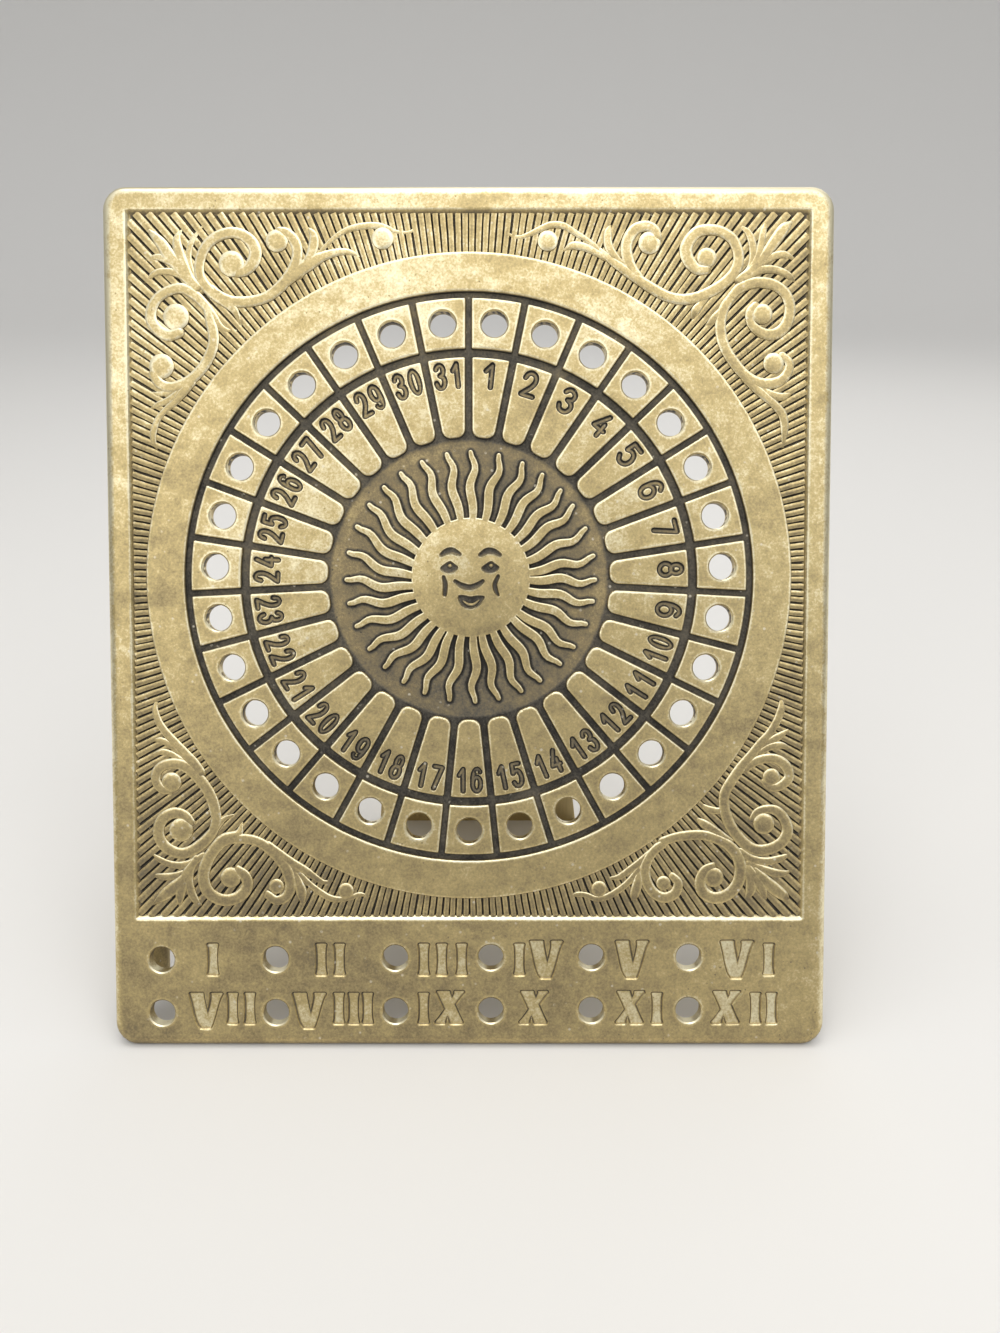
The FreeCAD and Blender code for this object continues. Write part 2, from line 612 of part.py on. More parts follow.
def build_scrollwork():
    """Leaves and curling stems in the four corners of the field, raised from its floor."""
    unit = plate_width.value * SCROLL_UNIT_SHARE
    sink = overrun.value / 4
    height = FreeCAD.Vector(0, 0, relief_depth.value * SCROLL_HEIGHT_SHARE + sink)
    solids = []
    for strokes, eyes in ((UPPER_STROKE_SHARES, UPPER_EYE_SHARES),
                          (LOWER_STROKE_SHARES, LOWER_EYE_SHARES)):
        corner = [ribbon([(x * unit, y * unit, width * unit) for x, y, width in stroke], height)
                  for stroke in strokes]
        for x, y, radius in eyes:
            corner.append(Part.makeCylinder(radius * unit, height.z,
                                            FreeCAD.Vector(x * unit, y * unit, 0)))
        solids.append(corner[0].fuse(corner[1:]))
    for corner in list(solids):
        solids.append(corner.mirror(FreeCAD.Vector(), FreeCAD.Vector(1, 0, 0)))
    scrollwork = doc.addObject("Part::Feature", "scrollwork")
    shape = Part.makeCompound(solids)
    shape.translate(FreeCAD.Vector(0, dial_height.value, floor_height.value - sink))
    scrollwork.Shape = shape
    return scrollwork


def build_face_plate():
    plate = doc.addObject("Part::MultiFuse", "face_plate")
    plate.Shapes = [build_plate_blank(), build_sun(), build_scrollwork()]
    plate.Label = "face_plate"
    plate.Placement = plate_place
    return plate


def build_hinge_bracket():
    """A leaf screwed to the pad, rolled into two knuckles that hold the pin's ends."""
    body = new_body("hinge_bracket")
    width = size("hinge_leaf_width")
    leaf = new_sketch(body, "leaf_section", "YZ_Plane")
    add_rectangle(leaf, zero, leaf_length, barrel_radius - leaf_thickness, barrel_radius)
    pad(body, leaf, "hinge_leaf", width, both_ways=True)
    round_edges(body, "leaf_corners", size("hinge_leaf_corner_radius"),
                lambda edge: runs_along(edge, FreeCAD.Vector(0, 0, 1))
                and edge.Vertexes[0].Y > leaf_length.value / 2)
    barrel = new_sketch(body, "barrel_circle", "YZ_Plane")
    add_circle(barrel, zero, zero, barrel_radius)
    pad(body, barrel, "hinge_barrel", width, both_ways=True)
    notch = new_sketch(body, "knuckle_notch_outline", "XY_Plane", -barrel_radius - overrun)
    half = knuckle_width / 2 + side_clearance
    reach = barrel_radius + side_clearance
    add_rectangle(notch, -half, half, -reach, reach)
    pocket(body, notch, "knuckle_notch", hinge_depth * 2 + overrun, backward=True)
    bore = new_sketch(body, "bracket_bore_circle", "YZ_Plane")
    add_circle(bore, zero, zero, pin_radius + size("pin_clearance"))
    pocket(body, bore, "bracket_bore", width + overrun, both_ways=True)
    holes = new_sketch(body, "leaf_hole_circles", "XY_Plane")
    for x in (-screw_x, screw_x):
        for y in (screw_low, screw_high):
            add_circle(holes, x, y, screw_radius + size("face_clearance"))
    pocket(body, holes, "leaf_holes", hinge_depth, backward=True)
    body.Placement = on_plate(0, hinge_height.value, -hinge_depth.value)
    return body


def cylinder(name, radius, length, along=None, start=None):
    """A round bar along local z; along and start turn and place it."""
    bar = doc.addObject("Part::Cylinder", name)
    bar.setExpression("Radius", radius.text)
    bar.setExpression("Height", length.text)
    if along is not None:
        bar.Placement = FreeCAD.Placement(FreeCAD.Vector(), along)
    if start is not None:
        axis = "x" if along is not None else "z"
        bar.setExpression(f"Placement.Base.{axis}", start.text)
    return bar


def fuse(name, shapes):
    joined = doc.addObject("Part::MultiFuse", name)
    joined.Shapes = shapes
    joined.Label = name
    return joined


def build_hinge_pin():
    """A plain pin through the knuckles, its two ends peened over into low heads."""
    sideways = FreeCAD.Rotation(FreeCAD.Vector(0, 1, 0), 90)
    width = size("hinge_leaf_width") + size("pin_clearance") * 2
    head = size("hinge_pin_head_length")
    shaft = cylinder("pin_shaft", pin_radius, width, sideways, -width / 2)
    left = cylinder("pin_left_head", size("hinge_pin_head_radius"), head, sideways,
                    -width / 2 - head)
    right = cylinder("pin_right_head", size("hinge_pin_head_radius"), head, sideways, width / 2)
    pin = fuse("hinge_pin", [shaft, left, right])
    pin.Placement = on_plate(0, hinge_height.value, -hinge_depth.value)
    return pin


def turned(y, z, angle):
    """A point of the strut's section, turned about the pin by the angle."""
    cosine = math.cos(angle)
    sine = math.sin(angle)
    return (y * cosine - z * sine, y * sine + z * cosine)


def build_strut():
    """The folding strut: a tapered leaf on one knuckle, a stiffening rib and a stop tongue."""
    body = new_body("easel_strut")
    foot_width = size("strut_foot_width")
    inner = barrel_radius - strut_thickness
    slant = math.tan(strut_angle)
    inner_low = -strut_length - strut_thickness * (slant / 2)
    outer_low = -strut_length + strut_thickness * (slant / 2)
    section = new_sketch(body, "strut_section", "YZ_Plane")
    add_outline(section, ((zero, inner), (inner_low, inner), (outer_low, barrel_radius),
                          (zero, barrel_radius)))
    pad(body, section, "strut_leaf", foot_width, both_ways=True)
    trim_strut(body)
    barrel = new_sketch(body, "strut_barrel_circle", "YZ_Plane")
    add_circle(barrel, zero, zero, barrel_radius)
    pad(body, barrel, "strut_barrel", knuckle_width, both_ways=True)
    tongue = new_sketch(body, "tongue_section", "YZ_Plane")
    top = barrel_radius - leaf_thickness - size("face_clearance")
    low = top - strut_thickness
    reach = size("stop_tongue_length")
    corners = ((zero, low), (reach, low), (reach, top), (zero, top))
    add_outline(tongue, [turned(y, z, -opening_angle) for y, z in corners])
    pad(body, tongue, "stop_tongue", size("stop_tongue_width"), both_ways=True)
    bore = new_sketch(body, "strut_bore_circle", "YZ_Plane")
    add_circle(bore, zero, zero, pin_radius + size("running_clearance"))
    pocket(body, bore, "strut_bore", knuckle_width + overrun, both_ways=True)
    rib = new_sketch(body, "rib_outline", "XY_Plane", inner + strut_thickness / 2)
    rib_half = size("strut_rib_width") / 2
    margin = size("strut_rib_margin")
    add_rectangle(rib, -rib_half, rib_half, margin - strut_length, -margin)
    pad(body, rib, "strut_rib", size("strut_rib_height") + strut_thickness / 2, backward=True)
    rib_ends = (number(margin - strut_length), number(-margin))
    round_edges(body, "rib_ends", rib_half - size("pin_clearance"),
                lambda edge: runs_along(edge, FreeCAD.Vector(0, 0, 1))
                and min(abs(edge.Vertexes[0].Y - end) for end in rib_ends) < MATCH_TOLERANCE
                and abs(edge.Vertexes[0].X) < rib_half.value + MATCH_TOLERANCE)
    body.Placement = FreeCAD.Placement(
        pin_place, FreeCAD.Rotation(FreeCAD.Vector(1, 0, 0), 90 + math.degrees(strut_angle)))
    return body


def trim_strut(body):
    """Cut the leaf's sides to its taper, with a neck that passes between the bracket's knuckles."""
    wide = size("strut_foot_width") / 2 + overrun
    neck = knuckle_width / 2
    shoulder = size("strut_top_width") / 2
    foot = size("strut_foot_width") / 2
    neck_low = -size("strut_neck_length")
    shoulder_low = neck_low - size("strut_shoulder_length")
    low = -strut_length - overrun
    sides = new_sketch(body, "taper_outline", "XY_Plane", -overrun)
    for turn in (1, -1):
        add_outline(sides, ((wide * turn, overrun), (neck * turn, overrun),
                            (neck * turn, neck_low), (shoulder * turn, shoulder_low),
                            (foot * turn, low), (wide * turn, low)))
    pocket(body, sides, "strut_taper", barrel_radius + overrun * 2, backward=True)
    round_edges(body, "strut_shoulders", size("strut_corner_radius") / 2,
                lambda edge: runs_along(edge, FreeCAD.Vector(0, 0, 1))
                and abs(edge.Vertexes[0].Y - shoulder_low.value) < MATCH_TOLERANCE)


def build_screw(name, x, y):
    """A slotted screw: shank into the pad, head on the hinge leaf, local z into the plate."""
    head_height = size("screw_head_height")
    shank = cylinder(name + "_shank", screw_radius, size("screw_length"))
    head = cylinder(name + "_head", size("screw_head_radius"), head_height, start=-head_height)
    blank = fuse(name + "_blank", [shank, head])
    slot = doc.addObject("Part::Box", name + "_slot")
    long = size("screw_head_radius") * 2 + overrun
    slot.setExpression("Length", size("screw_slot_width").text)
    slot.setExpression("Width", long.text)
    slot.setExpression("Height", (size("screw_slot_depth") + overrun).text)
    slot.setExpression("Placement.Base.x", (-size("screw_slot_width") / 2).text)
    slot.setExpression("Placement.Base.y", (-long / 2).text)
    slot.setExpression("Placement.Base.z", (-head_height - overrun).text)
    screw = doc.addObject("Part::Cut", name)
    screw.Base = blank
    screw.Tool = slot
    screw.Label = name
    seat = pad_thickness.value + leaf_thickness.value
    screw.Placement = on_plate(x, hinge_height.value + y, -seat)
    return screw


def build_peg(name, side):
    """A turned marker peg: shank, collar, tapered neck and ball, local z up the plate."""
    shank_length = size("peg_shank_length")
    tip_length = size("peg_tip_length")
    collar_height = size("peg_collar_height")
    neck_height = size("peg_neck_height")
    knob_radius = size("peg_knob_radius")
    shank = cylinder(name + "_shank", peg_shank_radius, shank_length - tip_length,
                     start=tip_length - shank_length)
    tip = doc.addObject("Part::Cone", name + "_tip")
    tip.setExpression("Radius1", (peg_shank_radius - tip_length).text)
    tip.setExpression("Radius2", peg_shank_radius.text)
    tip.setExpression("Height", tip_length.text)
    tip.setExpression("Placement.Base.z", (-shank_length).text)
    collar = cylinder(name + "_collar", size("peg_collar_radius"), collar_height)
    neck = cylinder(name + "_neck", size("peg_neck_radius"), neck_height + knob_radius,
                    start=collar_height / 2)
    knob = doc.addObject("Part::Sphere", name + "_knob")
    knob.setExpression("Radius", knob_radius.text)
    knob.setExpression("Placement.Base.z", (collar_height + neck_height + knob_radius * 0.8).text)
    peg = fuse(name, [tip, shank, collar, neck, knob])
    upward = FreeCAD.Rotation(FreeCAD.Vector(1, 0, 0), -90)
    peg.Placement = on_plate(side * socket_x.value, socket_top.value, -socket_depth.value, upward)
    return peg


def build_all():
    nodes = [build_face_plate(), build_hinge_bracket(), build_hinge_pin(), build_strut()]
    places = ((-screw_x, screw_low), (screw_x, screw_low), (-screw_x, screw_high),
              (screw_x, screw_high))
    for i, (x, y) in enumerate(places, start=1):
        nodes.append(build_screw(f"hinge_screw_{i}", x.value, y.value))
    nodes.append(build_peg("day_peg", -1))
    nodes.append(build_peg("month_peg", 1))
    return nodes


def check_and_write(nodes):
    doc.recompute()
    for item in doc.Objects:
        if "Invalid" in item.State or "Error" in item.State:
            raise RuntimeError(f"{item.Name} failed: {item.State}")
    for node in nodes:
        if node.Shape.isNull() or not node.Shape.isValid():
            raise RuntimeError(f"{node.Label} has no valid shape")
    for node in nodes:
        node.Shape.exportStep(f"parts/{node.Label}.step")
        box = node.Shape.BoundBox
        print(node.Label, len(node.Shape.Solids), round(node.Shape.Volume, 2),
              [round(v, 2) for v in (box.XMin, box.YMin, box.ZMin, box.XMax, box.YMax, box.ZMax)])


check_and_write(build_all())
axis_place = [round(v, 3) for v in pin_place]
print("hinge axis", axis_place, "fold angle", round(math.degrees(opening_angle), 3))
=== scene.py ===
import json
import math
import random

import bmesh
import bpy
import numpy as np
from mathutils import Matrix, Vector
from mathutils.geometry import delaunay_2d_cdt


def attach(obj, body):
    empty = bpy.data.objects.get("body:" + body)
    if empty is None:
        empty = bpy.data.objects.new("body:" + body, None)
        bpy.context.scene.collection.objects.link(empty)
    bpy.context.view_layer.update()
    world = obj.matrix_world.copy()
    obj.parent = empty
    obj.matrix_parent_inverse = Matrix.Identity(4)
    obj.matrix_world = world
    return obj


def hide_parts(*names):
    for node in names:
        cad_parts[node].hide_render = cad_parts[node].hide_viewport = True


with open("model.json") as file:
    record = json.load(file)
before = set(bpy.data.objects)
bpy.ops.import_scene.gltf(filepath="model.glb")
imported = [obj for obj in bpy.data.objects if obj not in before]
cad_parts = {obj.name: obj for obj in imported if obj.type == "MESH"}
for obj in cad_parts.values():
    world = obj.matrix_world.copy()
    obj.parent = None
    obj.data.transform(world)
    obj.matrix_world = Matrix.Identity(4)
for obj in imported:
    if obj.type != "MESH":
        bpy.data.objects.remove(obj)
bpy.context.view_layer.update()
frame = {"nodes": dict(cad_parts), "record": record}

# Sizes are in millimetres on the plate, unless a name says otherwise: x to the right and y up
# the plate from the dial's centre, z out of the plate's front, from its back.
MM = 0.001
PLATE_WIDTH = 111.2
PLATE_HEIGHT = 132.4
PLATE_THICKNESS = 2.2
PLATE_CORNER_RADIUS = 3.6
FRONT_EDGE_RADIUS = 1.5
BACK_EDGE_BEVEL = 0.2
LEAN = math.radians(21.56)
REST_FLAT_WIDTH = 1.0
DIAL_HEIGHT = 72.9
RELIEF_DEPTH = 0.7
FLOOR = PLATE_THICKNESS - RELIEF_DEPTH
SINK = 0.05
RIM_WIDTH = 3.75
BAND_HEIGHT = 20.1
FIELD_CORNER_RADIUS = 0.4
FIELD_SLOPE = 0.65
# How far past the rim's width the field's left and right sides lie, as a share of its slope
FIELD_SIDE_SHARE = 0.125

DAY_COUNT = 31
RING_OUTER_RADIUS = 49.6
RING_INNER_RADIUS = 43.5
CELL_OUTER_RADIUS = 42.7
CELL_INNER_RADIUS = 34.9
PETAL_OUTER_RADIUS = 33.8
PETAL_INNER_RADIUS = 21.5
CELL_GAP = 0.75
PETAL_GAP = 0.85
CELL_CORNER_RADIUS = 0.3
PETAL_INNER_CORNER_RADIUS = 1.45
PETAL_OUTER_CORNER_RADIUS = 0.35
HOLE_CIRCLE_RADIUS = 38.9
HOLE_RADIUS = 2.0
HOLE_BEVEL = 0.2
HOLE_STEPS = 32
FRONT_EDGE_STEPS = 6
BOX_CORNER_STEPS = 6
RING_STEPS = DAY_COUNT * 8
WELL_OUTLINE_STEPS = DAY_COUNT * 4
DAY_STEP = 2 * math.pi / DAY_COUNT
# The month holes' columns, how far each lies below the last one, and the two rows
MONTH_HOLE_XS = (-47.98, -30.21, -11.56, 3.35, 19.05, 34.22)
MONTH_HOLE_DROPS = (0.43, 0.35, 0.12, 0.05, 0, 0)
MONTH_HOLE_YS = (-58.73, -67.14)

RIB_COUNT = 310
RIB_HEIGHT = 0.38
RIB_STATIONS = 4
# How far the ribs reach in under the ring, and into the slope of the field's wall as a share
RIB_OVERLAP = 0.4
RIB_END_SHARE = 0.75
# How much the ribs differ: in angle and in sway as shares of the pitch, and in height
RIB_ANGLE_SPREAD = 0.05
RIB_SWAY_SPREAD = 0.035
RIB_HEIGHT_SHARES = (0.9, 1.08)
# Across a rib: share of the pitch, share of its height, wear and painted shade; the dark gap at a rib's
# foot is patina and painted shadow
RIB_SIDE = ((0.5, 0.15, 0.0), (0.42, 0.4, 0.05), (0.35, 0.95, 0.78), (0.2, 1.03, 0.72))
RIB_SECTION = (*((-share, *rest) for share, *rest in RIB_SIDE), (0.0, 1.05, 0.6), *RIB_SIDE[::-1])

# How a surface wears, with painted shade on the same scale: 0 is dark patina in a recess, and painted
# shadow along the foot of a wall; 1 is an edge rubbed bright
FLOOR_WEAR = 0.18
FACE_WEAR = 0.78
WALL_WEAR = 0.95
EDGE_WEAR = 0.22
BACK_EDGE_WEAR = 0.2

# Each step across a relief's edge: inset from its outline, height gained, wear and painted shade gained
# A raised form is near black at its foot: dark patina, and painted shadow along the foot of its wall
RAISED_STEPS = ((0.0, 0.0, 0.05), (0.1, RELIEF_DEPTH + SINK - 0.16, 0.62),
                (0.17, RELIEF_DEPTH + SINK - 0.04, 1.0), (0.26, RELIEF_DEPTH + SINK, 1.0),
                (0.55, RELIEF_DEPTH + SINK, FACE_WEAR))
HOLE_EDGE_STEPS = ((0.0, -HOLE_BEVEL, 0.2), (HOLE_BEVEL, 0.0, 0.2), (HOLE_BEVEL * 3, 0.0, 0.0))
FIELD_STEPS = ((-0.35, 0.0, 0.0), (0.0, 0.0, 0.22), (FIELD_SLOPE * 0.12, -0.05, 0.15),
               (FIELD_SLOPE * 0.9, -0.66, -0.2), (FIELD_SLOPE * 1.1, -RELIEF_DEPTH, FLOOR_WEAR - FACE_WEAR))
# The well round the sun is rubbed a little, most near the petals
WELL_STEPS = ((0.0, 0.0, 0.0), (0.5, 0.0, 0.28), (1.6, 0.0, 0.3), (2.8, 0.0, 0.22))
# A painted shadow: the floor darkens in a band just outside the sun's disc and rays
RAY_FOOT_SHADE_STEPS = ((-0.5, 0.0, 0.0), (-0.12, 0.0, -0.38))
BORE_STEPS = ((0.0, 0.0, 0.0), (0.1, 0.0, 0.0))

# Day numerals as strokes in a box from -1 to 1 each way. Two points are a straight stroke,
# more are a curve through them, and four numbers are a ring: x, y and its two radii.
DIGIT_STROKES = {
    "0": ((0, 0, 0.92, 1),),
    "1": (((-0.55, 0.42), (0.3, 0.95)), ((0.35, 1), (0.35, -1))),
    "2": (((-0.88, 0.5), (-0.6, 0.88), (0, 1.02), (0.62, 0.82), (0.78, 0.36), (0.4, -0.16),
           (-0.3, -0.62), (-0.88, -1)), ((-0.88, -1), (0.95, -1))),
    "3": (((-0.85, 0.66), (-0.5, 0.94), (0.1, 1.0), (0.7, 0.72), (0.62, 0.28), (-0.05, 0.08)),
          ((-0.05, 0.08), (0.66, -0.08), (0.92, -0.48), (0.6, -0.88), (0, -1.02),
           (-0.6, -0.9), (-0.92, -0.56))),
    "4": (((0.4, 1), (-0.92, -0.36)), ((-0.92, -0.36), (0.95, -0.36)), ((0.45, 0.2), (0.45, -1))),
    "5": (((0.8, 1), (-0.72, 1)), ((-0.72, 1), (-0.82, 0.16)),
          ((-0.82, 0.16), (-0.2, 0.36), (0.5, 0.28), (0.92, -0.2), (0.76, -0.76), (0.1, -1.02),
           (-0.5, -0.96), (-0.92, -0.66))),
    "6": ((0, -0.36, 0.9, 0.64), ((-0.9, -0.3), (-0.82, 0.36), (-0.42, 0.86), (0.16, 1.02),
                                  (0.72, 0.76))),
    "7": (((-0.88, 1), (0.92, 1)), ((0.92, 1), (-0.15, -1))),
    "8": ((0, 0.5, 0.66, 0.5), (0, -0.46, 0.9, 0.55)),
    "9": ((0, 0.36, 0.9, 0.64), ((0.9, 0.3), (0.82, -0.36), (0.42, -0.86), (-0.16, -1.02),
                                 (-0.72, -0.76))),
}
DIGIT_MIDDLE_RADIUS = 31.0
DIGIT_HALF_HEIGHT = 1.7
DIGIT_HALF_WIDTHS = {1: 1.0, 2: 0.68}
DIGIT_PITCH = 2.35
DIGIT_STROKE = 0.95
DIGIT_RING_STEPS = (28, 20)
# Across a numeral's cut edge: a near-black ring inside its wall, dark patina and painted shadow, and a
# lighter floor
DIGIT_STEPS = ((-0.1, 0.0, 0.0), (0.0, -0.02, 0.2), (0.06, -0.2, -0.4), (0.14, -0.42, -0.75),
               (0.24, -0.45, -0.7), (0.34, -0.45, -0.3))
FIRST_INWARD_DAY = 9
LAST_INWARD_DAY = 23

# Month numerals: for each row of the band its letters, each with the place of its middle
MONTH_LETTERS = (
    "I -40 I -23.1 I -20.25 I -7.1 I -4.3 I -1.2 I 7.8 V 12.07 V 25.45 V 41.8 I 46.7",
    "V -41.06 I -37 I -34.3 V -24.93 I -20.4 I -18.1 I -15.9 I -7.15 X -3.07 X 10.05 X 25.1 "
    "I 29.3 X 40.1 I 44.7 I 47.2",
)
# For each row, how high the middle of each letter lies, and half the letter's height
LETTER_HEIGHTS = ({"I": (-59.1, 2.58), "V": (-59.1, 3.05)},
                  {"I": (-66.85, 2.55), "V": (-67.2, 2.9), "X": (-66.7, 2.7)})
# Each bar of a letter: x at its top and at its foot, then its width at the top, middle, foot
LETTER_BARS = {
    "I": ((0, 0, 2.15, 1.5, 2.15),),
    "V": ((-1.65, -0.4, 2.45, 2.2, 1.2), (1.68, 0.1, 2.45, 1.5, 1.1)),
    "X": ((-1.15, 1.18, 2.45, 2.1, 2.35), (1.74, -1.77, 2.3, 1.3, 2.25)),
}
# Where a bar's outline has its points, from its foot to its top, and how sharply it flares
LETTER_STATION_SHARES = (-1, -0.8, -0.62, -0.25, 0.25, 0.62, 0.8, 1)
LETTER_FLARE_POWER = 4
LETTER_CORNER_RADIUS = 0.3
LETTER_STEPS = ((-0.24, 0.0, 0.0), (-0.14, -0.02, 0.14), (-0.06, -0.2, -0.1),
                (0.05, -0.36, -0.45), (0.17, -0.4, 0.05), (0.3, -0.4, 0.3))

# The sun: its centre, disc and wavy rays, each with the angle of its root and of its tip
SUN_CENTRE = (0.3, 0.3)
SUN_RADIUS = 9.2
SUN_STEPS = 96
RAY_OVERLAP = 0.5
RAY_TIP_RADIUS = 19.5
RAY_BASE_WIDTH = 1.15
RAY_MIDDLE_WIDTH = 1.5
RAY_TIP_WIDTH = 0.85
RAY_WAVE = 0.36
RAY_HALF_WAVES = 3
RAY_WAVE_PACE = 1.58
RAY_SWELL_PACE = 0.8
RAY_STATIONS = 16
RAY_ANGLES = (
    (2, 0), (14, 13), (27, 24.5), (38.5, 35), (50.5, 46), (61.5, 55), (74, 67), (85, 80),
    (92.5, 91), (103, 101), (114, 112), (126, 124), (134, 134), (147, 146), (157.5, 156),
    (169, 167), (177.5, 178), (189, 190), (200, 202), (208.5, 213), (219, 224), (229.8, 235),
    (241, 247), (252, 258), (261.5, 269), (271.5, 281.5), (283, 294), (295, 305.5),
    (308, 316), (322, 326), (337, 337), (350, 349),
)
# Like the raised forms, near black at the foot: dark patina, and painted shadow along the rays' feet
RAY_STEPS = ((0.0, 0.0, 0.05), (0.05, RELIEF_DEPTH + SINK - 0.16, 0.62),
             (0.1, RELIEF_DEPTH + SINK - 0.04, 1.0), (0.17, RELIEF_DEPTH + SINK, 1.0),
             (0.3, RELIEF_DEPTH + SINK, FACE_WEAR))

# The disc is a little domed
DOME_STEPS = ((0.3, 0.0, 0.0), (1.5, 0.1, 0.0), (3.0, 0.2, 0.0), (5.5, 0.31, 0.0),
              (8.7, 0.35, 0.0))

# The sun's face, cut into the disc: strokes of x, y and width, and filled outlines
FACE_STROKES = (
    ((-4.2, 3.75, 0.8), (-3.4, 4.25, 1.1), (-2.5, 4.35, 1.15), (-1.45, 3.85, 0.85)),
    ((1.8, 3.75, 0.85), (2.8, 4.3, 1.15), (3.8, 4.25, 1.1), (4.75, 3.75, 0.8)),
    ((-3.85, 0.35, 0.7), (-3.6, -0.8, 0.9), (-3.7, -2.4, 0.8)),
    ((4.5, 0.5, 0.7), (4.0, -0.7, 0.85), (4.15, -1.7, 0.85), (4.55, -2.45, 0.6)),
    ((-2.1, -0.25, 0.7), (-1.2, -0.85, 0.95), (0.1, -1.25, 1.1), (1.3, -0.85, 0.95),
     (2.15, -0.25, 0.7)),
)
EYE_OUTLINE = ((-1.45, 0), (-0.9, -0.7), (0, -0.95), (0.9, -0.65), (1.45, 0.1), (0.8, 0.7),
               (0.15, 1.1), (-0.6, 0.75))
EYE_CENTRES = ((-3.0, 1.75), (3.3, 1.75))
PUPIL_RADIUS = 0.38
PUPIL_STEPS = 14
PUPIL_SHIFT = (0.1, 0.3)
MOUTH_OUTLINE = ((-1.75, -2.9), (-1.3, -3.9), (-0.5, -4.55), (0.5, -4.65), (1.5, -4.2),
                 (2.2, -3.3), (2.45, -2.55), (1.4, -2.4), (0.3, -2.55), (-0.8, -2.35),
                 (-1.6, -2.4))
LIP_STROKE = ((-0.85, -3.35, 0.35), (-0.1, -3.85, 0.6), (0.75, -3.85, 0.6), (1.5, -3.25, 0.35))
FACE_STEPS = ((-0.1, 0.0, 0.0), (0.0, 0.0, 0.2), (0.08, -0.1, 0.0), (0.2, -0.36, -0.55),
              (0.4, -0.42, -0.6))
FACE_RAISED_STEPS = ((0.0, 0.0, 0.0), (0.1, 0.16, 0.3), (0.25, 0.24, 0.45))

